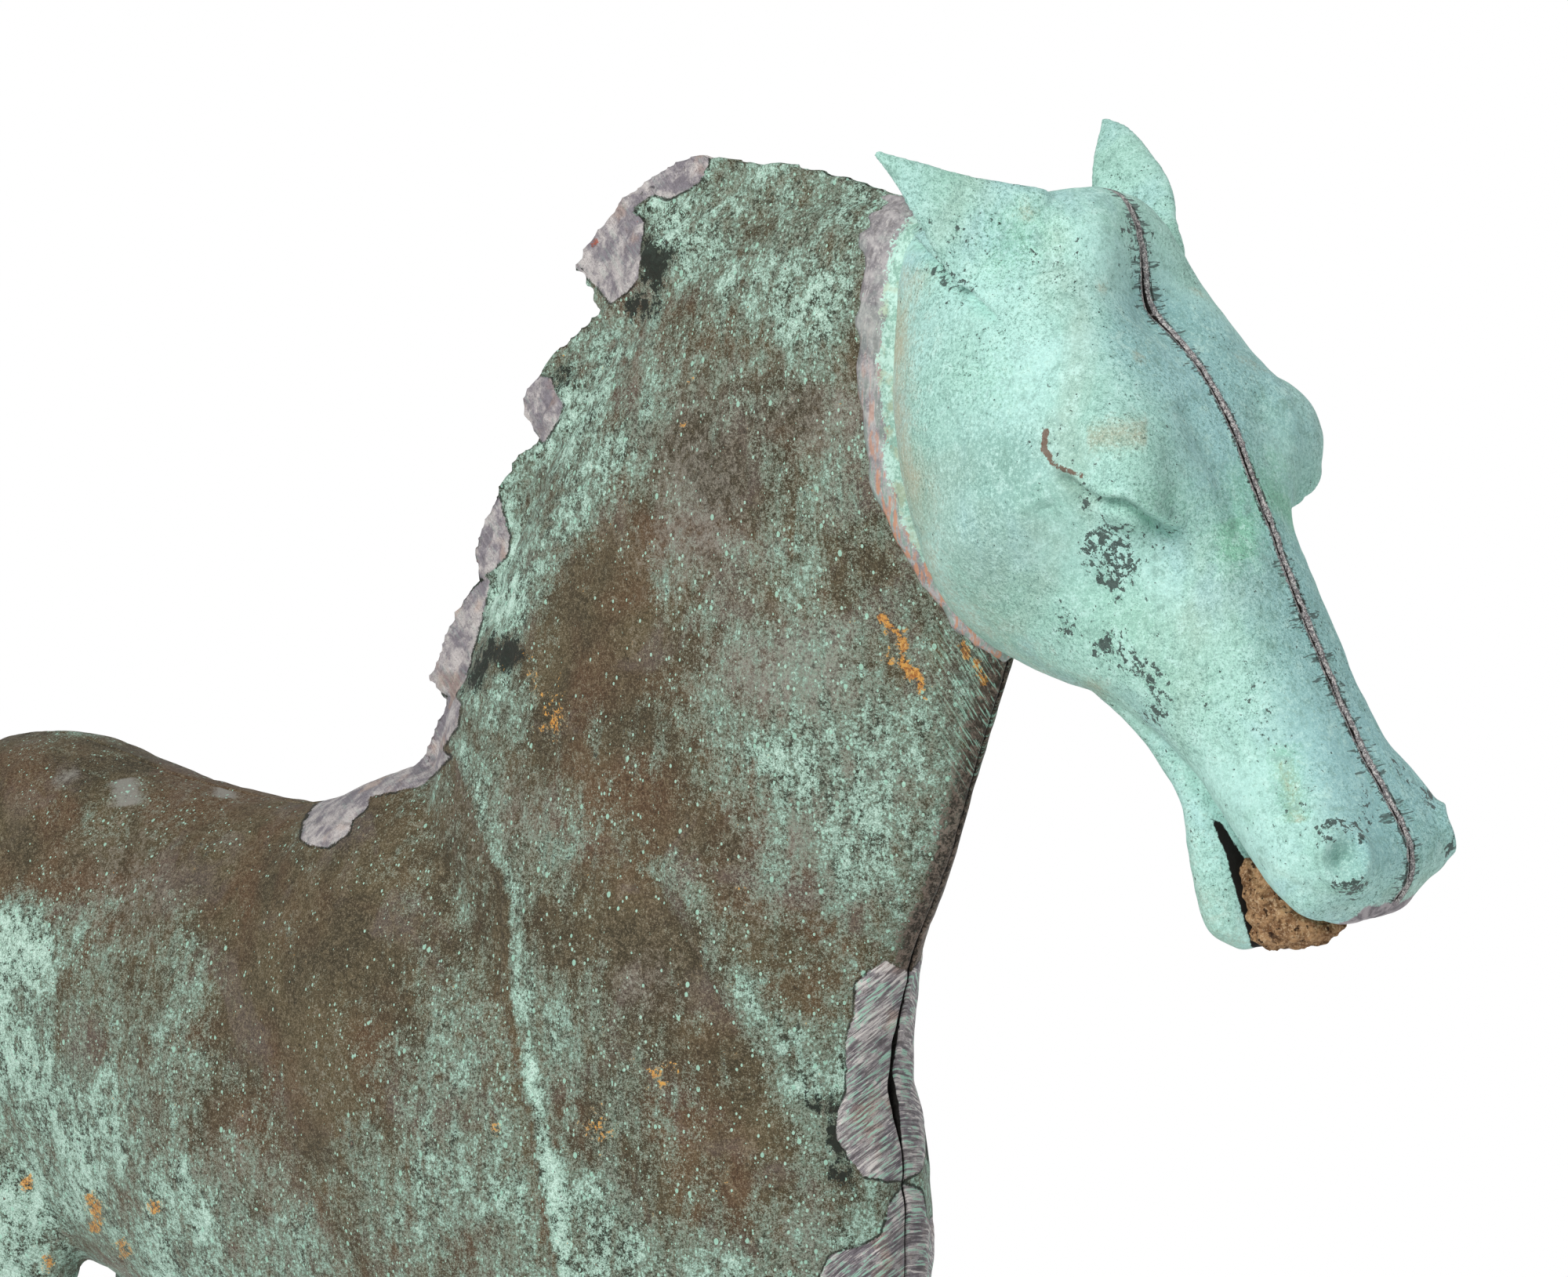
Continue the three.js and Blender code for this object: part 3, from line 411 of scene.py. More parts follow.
def hash01(i, j, k, seed):
    h = (i * 374761393 + j * 668265263 + k * 1440662683 + seed * 974634777) & 0xFFFFFFFF
    h = ((h ^ (h >> 13)) * 1274126177) & 0xFFFFFFFF
    return ((h ^ (h >> 16)) & 0xFFFF) / 32767.5 - 1


def grain(p, size, seed=0, octaves=1):
    """Smooth noise from -1 to 1, with lumps of about a size."""
    total, amp, norm = 0.0, 1.0, 0.0
    for o in range(octaves):
        q = p / size + seed * 7.31
        i = np.floor(q).astype(np.int64)
        f = q - i
        u = f * f * f * (f * (f * 6 - 15) + 10)
        val = 0.0
        for corner in np.ndindex(2, 2, 2):
            w = np.where(corner, u, 1 - u).prod(1)
            val = val + w * hash01(*(i + corner).T, seed + o)
        total, norm = total + amp * val, norm + amp
        amp, size = amp / 2, size / 2
    return total / norm * 1.6


def smoothstep(x, low, high):
    t = np.clip((x - low) / (high - low), 0, 1)
    return t * t * (3 - 2 * t)


def bell(x, width):
    return np.exp(-(x / width) ** 2)


def to_line(q, line):
    """(distance, side, run) of flat points to a polyline."""
    best, side, run = np.full(len(q), 1e9), np.zeros(len(q)), np.zeros(len(q))
    length = 0.0
    line = np.array(line, float)
    for a, b in zip(line[:-1], line[1:]):
        d = b - a
        ln = np.hypot(*d)
        t = np.clip((q - a) @ d / ln**2, 0, 1)
        dist = np.hypot(*(q - (a + t[:, None] * d)).T)
        near = dist < best
        best = np.where(near, dist, best)
        side = np.where(near, np.sign(d[0] * (q[:, 1] - a[1]) - d[1] * (q[:, 0] - a[0])), side)
        run = np.where(near, length + t * ln, run)
        length += ln
    return best, side, run / length


def marks(q, table):
    """The sum of round and long marks, each (height, width, point or points)."""
    total = np.zeros(len(q))
    for high, wide, *points in table:
        if len(points) == 1:
            total += high * bell(np.hypot(*(q - points[0]).T), wide)
        else:
            d, _, run = to_line(q, points)
            ends = smoothstep(run, -.02, .1) * (1 - smoothstep(run, .9, 1.02)) if wide < 30 else 1
            total += high * bell(d, wide) * ends
    return total


def within(q, outlines):
    """How deep flat points lie inside any outline; outside is negative."""
    best = np.full(len(q), -99.0)
    for outline in outlines:
        o = np.array(outline, float)
        close = np.all((q > o.min(0) - 40) & (q < o.max(0) + 40), axis=1)
        s = q[close]
        loop = np.concatenate([o, o[:1]])
        inside = np.zeros(len(s), bool)
        for a, b in zip(loop[:-1], loop[1:]):
            x = a[0] + (s[:, 1] - a[1]) * (b[0] - a[0]) / (b[1] - a[1] if b[1] != a[1] else 1)
            inside ^= ((a[1] > s[:, 1]) != (b[1] > s[:, 1])) & (s[:, 0] < x)
        d = to_line(s, loop)[0]
        best[close] = np.maximum(best[close], np.where(inside, d, -d))
    return best


def spread(q, table, reach=30):
    """A value everywhere, from values at points (u, v, value)."""
    total, share = np.zeros(len(q)), np.zeros(len(q))
    for u, v, value in table:
        w = 1 / ((q[:, 0] - u) ** 2 + (q[:, 1] - v) ** 2 + reach**2) ** 2
        total += w * value
        share += w
    return total / share


LENS_AT, BACK = np.array(AIM + TO_CAMERA * FAR), np.array(TO_CAMERA)
RIGHT = np.array([math.cos(AZ), math.sin(AZ), 0])
UP = np.cross(BACK, RIGHT)


def seen(p, n):
    """Points brought to the near side, as the photograph's pixels, and how far each one faces the camera."""
    side = np.where(p[:, 1] > 0, -1.0, 1.0)
    q = (np.stack([p[:, 0], p[:, 1] * side, p[:, 2]], 1) + [0, 0, WITHERS]) / 1000 - LENS_AT
    z = -q @ BACK
    flat = np.stack([PHOTO_MIDDLE[0] + FOCAL * (q @ RIGHT) / z, PHOTO_MIDDLE[1] - FOCAL * (q @ UP) / z], 1)
    across = n[:, 1] * side * smoothstep(np.abs(p[:, 1]), .8, 4)
    return flat, n[:, 0] * BACK[0] + across * BACK[1] + n[:, 2] * BACK[2]


def spot(p, place, size):
    """A soft round spot at (x, z), on both sides."""
    return bell(np.hypot(p[:, 0] - place[0], p[:, 2] - place[1]), size)


def between(p, low, high):
    """1 at the centre plane, down to 0 as y passes from low to high on either side."""
    return 1 - smoothstep(np.abs(p[:, 1]), low, high)


def both_sides(*offsets):
    return [side * y for y in offsets for side in (-1, 1)]


class Skin:
    """A bmesh with numpy access."""

    def __init__(self, v, faces):
        self.bm = bmesh.new()
        me = new_mesh("skin", v, faces)
        self.bm.from_mesh(me)
        bpy.data.meshes.remove(me)

    def cut(self, point, normal, keep=lambda c: True, reach=6):
        """Adds edges along a plane, where keep(face centre) holds."""
        n, p = Vector(normal).normalized(), Vector(point)
        faces = []
        for f in self.bm.faces:
            c = f.calc_center_median()
            if abs((c - p).dot(n)) < reach and keep(c):
                faces.append(f)
        geom = list({e for f in faces for e in f.edges}) + list({v for f in faces for v in f.verts})
        bmesh.ops.bisect_plane(self.bm, geom=faces + geom, dist=1e-4, plane_co=p, plane_no=n)

    def slices(self, centre, offsets, keep=lambda c: True):
        """Adds edges along upright planes beside a centre plane."""
        for d in offsets:
            self.cut((0, centre + d, 0), (0, 1, 0), keep)

    def points(self):
        return np.array([v.co[:] for v in self.bm.verts])

    def normals(self):
        self.bm.normal_update()
        return np.array([v.normal[:] for v in self.bm.verts])

    def centres(self):
        return np.array([f.calc_center_median()[:] for f in self.bm.faces])

    def move(self, v):
        """Moves the points; take() closes open edges as they lay before."""
        self.rest = self.points()
        for vert, co in zip(self.bm.verts, v):
            vert.co = co

    def take(self, labels, label):
        """A copy of the faces with a label, its open edges closed."""
        bm = self.bm.copy()
        moved = bm.verts.layers.float_vector.new("moved")
        for vert, co in zip(bm.verts, self.rest):
            vert[moved] = vert.co
            vert.co = co
        bm.faces.ensure_lookup_table()
        bmesh.ops.delete(bm, geom=[bm.faces[i] for i in np.nonzero(labels != label)[0]], context="FACES")
        made = bmesh.ops.holes_fill(bm, edges=[e for e in bm.edges if e.is_boundary], sides=0)["faces"]
        bmesh.ops.triangulate(bm, faces=made, ngon_method="EAR_CLIP")
        bmesh.ops.recalc_face_normals(bm, faces=bm.faces)
        for vert in bm.verts:
            vert.co = vert[moved]
        bm.verts.layers.float_vector.remove(moved)
        return bm

    def tree(self):
        self.bm.verts.index_update()
        return BVHTree.FromBMesh(self.bm)


def halves(c):
    """A label for each face centre: 0 on the right, 1 on the left, -1 in the gap between."""
    labels = np.where(c[:, 1] < 0, 0, 1)
    labels[np.abs(c[:, 1]) < GAP_LABEL] = -1
    return labels


def piece(name, source, material, slot, *nodes, paint=None, body="vane", lift=WITHERS):
    """Makes an object in the row frame from a bmesh or (points, faces) in millimetres."""
    if isinstance(source, tuple):
        me = new_mesh(name, *source)
    else:
        me = bpy.data.meshes.new(name)
        source.to_mesh(me)
        source.free()
    co = np.empty(len(me.vertices) * 3)
    me.vertices.foreach_get("co", co)
    co = co.reshape(-1, 3)
    if paint:
        normal = np.empty(co.size)
        me.vertices.foreach_get("normal", normal)
        for key, values in paint(co, normal.reshape(-1, 3)).items():
            layer = me.attributes.new(key, "FLOAT", "POINT")
            layer.data.foreach_set("value", np.ascontiguousarray(np.broadcast_to(values, len(co)), dtype=np.float32))
    me.vertices.foreach_set("co", ((co + [0, 0, lift]) * 0.001).ravel())
    me.polygons.foreach_set("use_smooth", np.full(len(me.polygons), True))
    me.update()
    me.materials.append(material)
    ob = link(name, me)
    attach(ob, body)
    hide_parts(*nodes)
    return ob


def two_halves(prefix, node, skin, rise, material, slot, paint):
    """Moves a skin's points out by a rise and makes its right and left halves."""
    labels = halves(skin.centres())
    skin.move(skin.points() + skin.normals() * rise[:, None])
    for label, word in ((0, "right"), (1, "left")):
        piece(f"{prefix}_{word}", skin.take(labels, label), material, slot, f"{node}_{word}", paint=paint)


# ---------- tables of form ----------
# rows of sections along the horse, as in the part's source
# behind the breast (length), top, bottom (depth below the withers), half width, widest level
TRUNK = [
    [0, .413, .739, .075, .5], [.009, .33, .843, .12, .5], [.035, .217, .922, .235, .52],
    [.087, .13, .991, .36, .54], [.17, .052, 1.043, .43, .55], [.281, .01, 1.074, .46, .56],
    [.407, 0, 1.078, .484, .56], [.502, .085, 1.07, .5, .56], [.567, .105, 1.05, .508, .55],
    [.652, .102, 1.01, .5, .54], [.7, .092, .98, .494, .52], [.739, .08, .975, .484, .5],
    [.794, .066, .93, .476, .48], [.856, .083, .865, .452, .46], [.911, .135, .79, .403, .46],
    [.952, .209, .739, .339, .47], [.981, .304, .683, .25, .48], [.994, .383, .622, .161, .5],
    [1, .443, .565, .073, .5]]
# crest x, z, throat x, z (from the withers), half width, widest level
NECK = [
    [.027, -.133, .68, -.533, .5, .6], [.04, .027, .712, -.333, .47, .6], [.107, .167, .724, -.207, .42, .6],
    [.193, .32, .747, -.107, .37, .6], [.293, .467, .787, 0, .32, .6], [.413, .593, .83, .12, .27, .6],
    [.553, .663, .873, .24, .24, .58], [.693, .677, .907, .34, .22, .56], [.8, .657, .927, .433, .17, .55]]
# x, z (from the withers) of the crest with its locks, then back inside the neck
MANE = [
    [.7, .684], [.656, .696], [.603, .705], [.543, .712], [.476, .715], [.451, .717], [.421, .713], [.387, .7],
    [.366, .687], [.334, .673], [.313, .656], [.291, .635], [.266, .61], [.252, .591], [.283, .573],
    [.303, .555], [.258, .526], [.214, .495], [.188, .468], [.167, .439], [.168, .427], [.194, .397],
    [.163, .382], [.147, .367], [.124, .337], [.114, .317], [.097, .29], [.082, .259], [.091, .233],
    [.066, .208], [.041, .171], [.022, .134], [.003, .101], [.039, .087], [.02, .061], [.008, .039],
    [-.005, .011], [-.027, -.012], [.16, 0], [.293, .267], [.46, .533], [.69, .61]]
# face along, in, cheek along, in, half width, widest level, roundness of the face
HEAD = [
    [-.032, .126, -.113, .516, .087, .5, 1], [-.008, .042, -.12, .636, .196, .5, .9],
    [.028, -.007, -.09, .777, .29, .45, .8], [.1, -.019, -.005, .895, .372, .42, .7],
    [.178, -.018, .092, .976, .465, .4, .6], [.252, -.022, .196, 1.05, .52, .38, .5],
    [.336, -.028, .3, 1.105, .55, .34, .36], [.39, -.026, .385, 1.11, .55, .34, .36],
    [.45, -.018, .45, 1.08, .47, .36, .5], [.511, -.011, .508, 1, .41, .38, .95],
    [.597, .001, .575, .855, .375, .42, .95], [.684, .012, .625, .715, .352, .45, .85],
    [.755, .017, .684, .615, .327, .48, .75], [.829, .013, .758, .53, .312, .48, .65],
    [.898, .004, .838, .475, .335, .42, .5], [.95, -.003, .913, .435, .36, .4, .4],
    [1, -.001, .979, .4, .34, .42, .36], [1.038, .052, 1.028, .335, .275, .5, .45],
    [1.055, .14, 1.045, .27, .15, .5, .8]]
# upper edge along, in, lower edge along, in, half width
JAW = [
    [.511, .442, .485, .887, .261], [.582, .447, .558, .823, .261], [.652, .438, .609, .745, .239],
    [.717, .446, .672, .675, .206], [.781, .455, .74, .632, .179], [.838, .457, .806, .618, .17],
    [.9, .478, .868, .665, .17], [.958, .508, .93, .71, .17], [1.01, .532, .985, .718, .155],
    [1.036, .56, 1.025, .665, .085]]
# along, in: the outline of the mud in the mouth
NEST = [
    [.906, .54], [.929, .45], [.985, .4], [1.03, .35], [1.045, .315], [1.06, .335], [1.062, .416], [1.05, .54],
    [1.02, .62], [.97, .61]]
# behind the dock, above it (length), half depth, half width
TAIL = [
    [-.1, -.06, .5, .34], [.02, .01, .52, .36], [.14, .05, .56, .4], [.3, .02, .66, .46], [.46, -.1, .76, .5],
    [.6, -.3, .8, .5], [.7, -.54, .76, .44], [.76, -.8, .6, .34], [.77, -1.02, .36, .22],
    [.765, -1.12, .12, .1]]
# front edge along, in, sideways, rear edge along, in, sideways, half thickness, from root to tip
EARS = {
    -1: [
        [0, .16, .14, .15, .42, .27, .075], [-.024, .106, .2, .075, .41, .33, .065],
        [-.058, .176, .285, 0, .405, .39, .054], [-.1, .26, .39, -.065, .4, .455, .04],
        [-.142, .34, .48, -.125, .39, .51, .026], [-.166, .38, .54, -.158, .39, .545, .012]],
    1: [
        [.13, .13, .24, .13, .42, .25, .075], [.093, .067, .29, .06, .39, .3, .065],
        [.037, .068, .35, -.01, .35, .3, .054], [-.028, .075, .413, -.06, .31, .33, .045],
        [-.14, .183, .5, -.13, .295, .44, .026], [-.183, .265, .52, -.178, .275, .52, .009]]}
BROW = ((.378, .132), .392, (.068, .062, .105))  # along and in, sideways, half sizes (length)
FORE_ROOT, HIND_ROOT, DOCK = (.133, .826), (.845, .42), (.965, .235)  # behind the breast, below the withers
BELLY = 1.078  # below the withers (depth)
THROAT_KEEL = 1.25  # above 1, the throat narrows to an edge
MANE_THICKNESS = 3.4


def behind(share):
    return TRUNK_LENGTH * (SPINDLE_SHARE - share)


def below(share):
    return -TRUNK_DEPTH * share


def from_withers(x, z):
    return np.array([behind(.407) + x * NECK_LENGTH, z * NECK_LENGTH])


POLL = from_withers(.99, .693)
ALONG = np.array([math.sin(TILT), -math.cos(TILT)])
INWARD = np.array([-math.cos(TILT), -math.sin(TILT)])


def on_head(along, inward):
    return POLL + ALONG * along * HEAD_LENGTH + INWARD * inward * HEAD_DEPTH


def trunk():
    return loft([ring((behind(a), below(t)), (behind(a), below(b)), h * TRUNK_WIDTH, w, count=96)
                 for a, t, b, h, w in curve(TRUNK, 6)])


def neck_ring(row, count=96):
    cx, cz, tx, tz, h, w = row
    return ring(from_withers(cx, cz), from_withers(tx, tz), h * NECK_WIDTH, w, keel=THROAT_KEEL, count=count)


def neck():
    return loft([neck_ring(row) for row in curve(NECK, 8)])


def crest():
    """The mane's edge, thinning outwards from the neck."""
    o = np.array([from_withers(x, z) for x, z in [(.77, .668), *MANE[:-1], (.77, .6)]])
    spine = np.array([from_withers(x, z) for x, z in [(.3, -.1), (.42, .15), (.5, .35), (.62, .5), (.75, .55)]])
    aims = [spine[np.argmin(np.hypot(*(spine - p).T))] for p in o]
    made = [slab(o, MANE_THICKNESS)]
    for draw, thick in ((7, 6.5), (15, 11), (24, 18)):
        made.append(slab([p + unit(aim - p) * draw for p, aim in zip(o, aims)], thick))
    return made


def limb_rings(rows, centre, count=48):
    """Rings square to the line of rows [x, z, half depth, half width]."""
    p = rows[:, :2]
    run = np.gradient(p, axis=0)
    run /= np.hypot(run[:, 0], run[:, 1])[:, None]
    across = np.stack([-run[:, 1], run[:, 0]], 1) * rows[:, 2:3]
    return [ring(c + a, c - a, h, centre=centre, count=count) for c, a, h in zip(p, across, rows[:, 3])]


class Leg:
    """A leg's rows in millimetres, and the plane where its lower part is soldered on."""

    def __init__(self, name, centre, root, length, reach, rows):
        self.name, self.centre, self.reach = name, centre, reach
        self.end, self.word = name.split("_")
        self.side = math.copysign(1, centre)
        r = np.array(rows)
        self.table = np.stack([behind(root[0]) + r[:, 0] * length, below(root[1]) - r[:, 1] * length,
                               r[:, 2] * LEG_WIDTH, r[:, 3] * LEG_WIDTH], 1)
        self.at = self.table[2, :2]
        self.run = unit(self.table[3, :2] - self.table[1, :2])

    def along(self, x, z):
        return (x - self.at[0]) * self.run[0] + (z - self.at[1]) * self.run[1]

    def across(self, x, z):
        return abs((x - self.at[0]) * self.run[1] - (z - self.at[1]) * self.run[0])

    def at_joint(self, c):
        return c.y * self.side > .15 and abs(self.along(c.x, c.z)) < 6 and self.across(c.x, c.z) < self.reach

    def is_lower(self, c):
        return c.y * self.side > .15 and self.along(c.x, c.z) > 0 and c.z < -185

    def shape(self):
        return loft(limb_rings(curve(self.table, 6), self.centre))


# ahead, below (from the root, length), half depth, half width (leg width)
LEGS = [
    Leg("fore_right", -31, FORE_ROOT, FORE_LENGTH, 46, [
        [0, 0, 1.6, .95], [.048, .137, 1.25, .82], [.127, .235, .9, .62], [.213, .325, .64, .5],
        [.257, .384, .6, .48], [.254, .444, .46, .38], [.225, .552, .36, .3], [.203, .646, .46, .38],
        [.171, .69, .36, .32], [.14, .716, .5, .46]]),
    Leg("fore_left", 31, FORE_ROOT, FORE_LENGTH, 46, [
        [-.048, 0, 1.5, .95], [-.073, .143, 1.2, .82], [-.108, .317, .82, .6], [-.133, .49, .6, .48],
        [-.143, .556, .6, .48], [-.165, .619, .44, .36], [-.197, .73, .36, .3], [-.225, .819, .46, .38],
        [-.216, .876, .36, .32], [-.203, .914, .5, .46]]),
    Leg("hind_right", -34, HIND_ROOT, HIND_LENGTH, 74, [
        [0, 0, 3.2, 1.2], [.04, .137, 2.7, 1.15], [.03, .275, 2.1, .98], [-.04, .388, 1.4, .78],
        [-.125, .49, .96, .6], [-.202, .585, .8, .52], [-.244, .65, .54, .4], [-.29, .737, .42, .34],
        [-.338, .822, .5, .4], [-.366, .861, .38, .34], [-.387, .887, .52, .46]]),
    Leg("hind_left", 34, HIND_ROOT, HIND_LENGTH, 74, [
        [.03, 0, 3.2, 1.2], [.11, .137, 2.7, 1.15], [.138, .263, 2, .98], [.1, .388, 1.4, .78],
        [.048, .5, .96, .6], [.008, .613, .8, .52], [.028, .69, .54, .4], [.078, .775, .42, .34],
        [.13, .862, .5, .4], [.158, .905, .38, .34], [.17, .938, .52, .46]])]


def ear(side):
    rows = curve(EARS[side], 6)
    front, rear = (np.array([np.insert(on_head(a, i), 1, side * y * HEAD_WIDTH) for a, i, y in part])
                   for part in (rows[:, :3], rows[:, 3:6]))
    middle = (front + rear) / 2
    run = np.gradient(middle, axis=0)
    t = turns(40)
    rings = []
    for k in range(len(rows)):
        across = (front[k] - rear[k]) / 2
        thick = unit(np.cross(run[k], across)) * rows[k, 6] * HEAD_WIDTH
        rings.append(middle[k] + np.outer(np.cos(t), across) + np.outer(np.sin(t), thick))
    return loft(rings)


def head_parts():
    skull = loft([ring(on_head(a, i), on_head(b, j), h * HEAD_WIDTH, w, r, count=120)
                  for a, i, b, j, h, w, r in curve(HEAD, 6)])
    jaw = loft([ring(on_head(a, i), on_head(b, j), h * HEAD_WIDTH, count=64)
                for a, i, b, j, h in curve(JAW, 6)])
    place, out, size = BROW
    x, z = on_head(*place)
    parts = [skull, jaw]
    for side in (-1, 1):
        parts += [ear(side), ball((x, side * out * HEAD_WIDTH, z), np.array(size) * HEAD_LENGTH, -TILT)]
    return parts


# ---------- marks and paint ----------
# Places are in the photograph's pixels, on the near side, and are mirrored. A mark is a height or an amount, its
# width and its point or line of points; an outline is a closed ring of points.

# the line where the shoulder folds over the barrel, and the groove on the shoulder
CREASE = [
    (575, 955), (597, 1010), (618, 1080), (638, 1120), (648, 1151), (650, 1270), (662, 1347), (679, 1437),
    (693, 1532), (712, 1628), (735, 1760), (750, 1880)]
GROOVE = [(817, 1099), (865, 1185), (903, 1256), (955, 1332), (979, 1366)]
BODY_MARKS = [
    (-1.7, 15, *GROOVE), (1, 28, *[(u + 28, v - 8) for u, v in GROOVE]),
    (-1.3, 26, (824, 1206), (850, 1310), (875, 1425)),
    (-1.9, 42, (1190, 780), (1150, 900), (1110, 1050), (1060, 1200)),
    (-1.2, 12, (685, 893), (715, 850), (770, 790), (858, 702)), (-.8, 14, (700, 760), (760, 700), (830, 560)),
    (2.2, 150, (760, 1290)), (2.4, 165, (960, 1480)), (1.2, 90, (1010, 900)), (-1.6, 60, (560, 1180)),
    (-1, 40, (330, 1080), (300, 1250), (310, 1420)), (.9, 40, (240, 1100), (215, 1250), (225, 1400)),
    (-.9, 34, (150, 1120), (140, 1260), (160, 1400)), (.7, 40, (430, 1150), (420, 1300), (440, 1450))]
# outlines of the filed solder: on the crest's locks and the back, and on the breast
LOCKS = [
    [(736, 342), (762, 365), (779, 387), (800, 374), (815, 356), (817, 315), (820, 283), (803, 268),
     (833, 248), (853, 256), (892, 233), (903, 212), (905, 190), (840, 200), (790, 240), (740, 300),
     (720, 335)],
    [(686, 480), (703, 483), (706, 498), (718, 518), (712, 536), (694, 563), (660, 540), (655, 500)],
    [(637, 630), (642, 654), (650, 685), (646, 707), (627, 729), (612, 740), (590, 715), (610, 660)],
    [(618, 737), (626, 738), (616, 779), (608, 810), (600, 841), (591, 872), (577, 890), (530, 870),
     (560, 790)],
    [(577, 886), (588, 897), (585, 926), (567, 951), (555, 976), (535, 990), (520, 975), (540, 920)],
    [(383, 1070), (388, 1050), (400, 1030), (420, 1012), (500, 985), (560, 955), (575, 965), (540, 1000),
     (470, 1016), (468, 1030), (450, 1045), (445, 1065), (420, 1080), (395, 1078)]]
CHEST = [
    [(1130, 1226), (1145, 1235), (1170, 1245), (1185, 1300), (1175, 1400), (1170, 1500), (1135, 1508),
     (1100, 1500), (1085, 1480), (1066, 1450), (1068, 1420), (1080, 1390), (1078, 1330), (1090, 1290),
     (1092, 1255), (1110, 1238)],
    [(1160, 1500), (1180, 1640), (1170, 1760), (1060, 1740), (1040, 1640), (1060, 1600), (1100, 1590),
     (1125, 1575), (1135, 1535)]]
# the roots of the mane
CREST = [(905, 185), (800, 250), (740, 330), (690, 480), (640, 620), (610, 740), (590, 880), (540, 990)]
# dark stains beside the solder
STAINS = [
    [(812, 270), (824, 285), (826, 300), (845, 318), (858, 322), (850, 336), (842, 350), (833, 364),
     (822, 352), (815, 330)],
    [(800, 384), (812, 378), (822, 380), (828, 392), (820, 405), (808, 400)],
    [(711, 467), (718, 472), (712, 490), (709, 480)],
    [(630, 820), (650, 822), (665, 838), (645, 845), (625, 850), (610, 875), (600, 872), (610, 845)],
    [(1034, 1410), (1056, 1404), (1064, 1412), (1044, 1418)],
    [(1056, 1438), (1068, 1434), (1078, 1466), (1068, 1470)],
    [(1060, 1492), (1080, 1496), (1084, 1508), (1064, 1506)]]
# where the throat is filed
STROKES = [[(1205, 800), (1270, 812), (1290, 900), (1275, 1000), (1240, 1010), (1215, 950)]]
# orange spots
RUST = [
    (1, 9, (1122, 779), (1137, 806)), (1, 9, (1143, 800), (1156, 836)), (1, 9, (1150, 838), (1163, 868)),
    (1, 8, (1166, 850), (1181, 893)), (1, 8, (1226, 815), (1236, 842)), (1, 8, (1242, 838), (1258, 875)),
    (.8, 8, (1130, 826), (1138, 850)), (.7, 9, (948, 1137)), (.8, 9, (629, 1433), (638, 1452)),
    (.6, 8, (880, 485)), (.6, 8, (870, 540)), (.9, 8, (757, 310)),
    (.4, 14, (667, 820), (690, 890), (700, 940)), (.4, 12, (717, 850), (705, 956)),
    (1, 11, (29, 1500), (40, 1520)), (.9, 11, (112, 1519), (124, 1546), (119, 1576)),
    (.9, 11, (195, 1530), (200, 1550)), (.9, 12, (55, 1600), (70, 1620)), (.8, 11, (150, 1580), (163, 1606)),
    (.6, 26, (760, 1440)), (.5, 30, (840, 1370))]
# (u, v, how green) at places of the body
GREEN = [
    (1000, 260, .62), (900, 250, .62), (980, 320, .64), (860, 300, .72), (800, 420, .6), (740, 560, .75),
    (720, 640, .7), (640, 760, .7), (640, 900, .7), (600, 980, .45), (850, 450, .45), (950, 450, .4),
    (1000, 400, .6), (1050, 380, .7), (1080, 470, .4), (1070, 530, .3), (900, 620, .3), (800, 700, .2),
    (1000, 640, .5), (1070, 700, .5), (1100, 620, .55), (1130, 700, .5), (1180, 760, .6), (780, 820, .1),
    (700, 850, .3), (850, 850, .2), (960, 800, .35), (1050, 850, .45), (1100, 900, .5), (1180, 900, .5),
    (700, 1000, .25), (780, 1000, .15), (900, 950, .35), (1000, 950, .55), (1080, 1000, .6), (1150, 980, .5),
    (1000, 1100, .5), (620, 1100, .45), (640, 1250, .45), (660, 1400, .45), (690, 1550, .6), (720, 1200, .35),
    (800, 1150, .1), (850, 1080, .2), (780, 1350, .4), (770, 1430, .45), (900, 1200, .2), (900, 1330, .16),
    (950, 1250, .35), (1050, 1200, .5), (950, 1420, .25), (880, 1480, .3), (1030, 1400, .66),
    (1080, 1480, .7), (1000, 1560, .4), (760, 1580, .8), (860, 1600, .6), (1090, 1560, .7), (560, 1100, .3),
    (550, 1200, .35), (580, 1300, .45), (560, 1400, .45), (560, 1530, .7), (400, 1150, -.02), (300, 1200, 0),
    (350, 1300, .05), (420, 1400, .2), (450, 1500, .3), (480, 1600, .5), (300, 1450, .42), (200, 1400, .5),
    (130, 1350, .55), (100, 1220, .5), (30, 1220, .85), (0, 1300, .75), (230, 1230, .45), (60, 1420, .65),
    (30, 1560, .8), (130, 1560, .65), (230, 1580, .7), (320, 1600, .5), (300, 1100, .05), (100, 1080, .15),
    (250, 1040, .1), (450, 1060, .1), (0, 1080, .1), (-200, 1080, .3), (-300, 1250, .4), (-420, 1500, .6),
    (-100, 1750, .6), (400, 1800, .6), (900, 1850, .6), (1050, 2200, .62), (-200, 2400, .6),
    (-700, 1300, .55)]
# a thin grey film
FILM = [
    (.6, 100, (1000, 1090)), (.6, 90, (960, 850)), (.6, 80, (1060, 860)), (.6, 60, (1020, 1585)),
    (.5, 70, (820, 1270)), (.5, 90, (1130, 1000)), (.4, 90, (150, 1150)), (.4, 120, (250, 1500)),
    (.5, 80, (640, 1050)), (1.3, 16, (160, 995), (166, 1035)), (1.2, 14, (284, 1002), (282, 1026)),
    (.7, 12, (70, 1000), (110, 982)), (.5, 110, (880, 560)), (.5, 90, (1030, 520)), (.5, 70, (900, 680)),
    (.4, 90, (780, 420))]
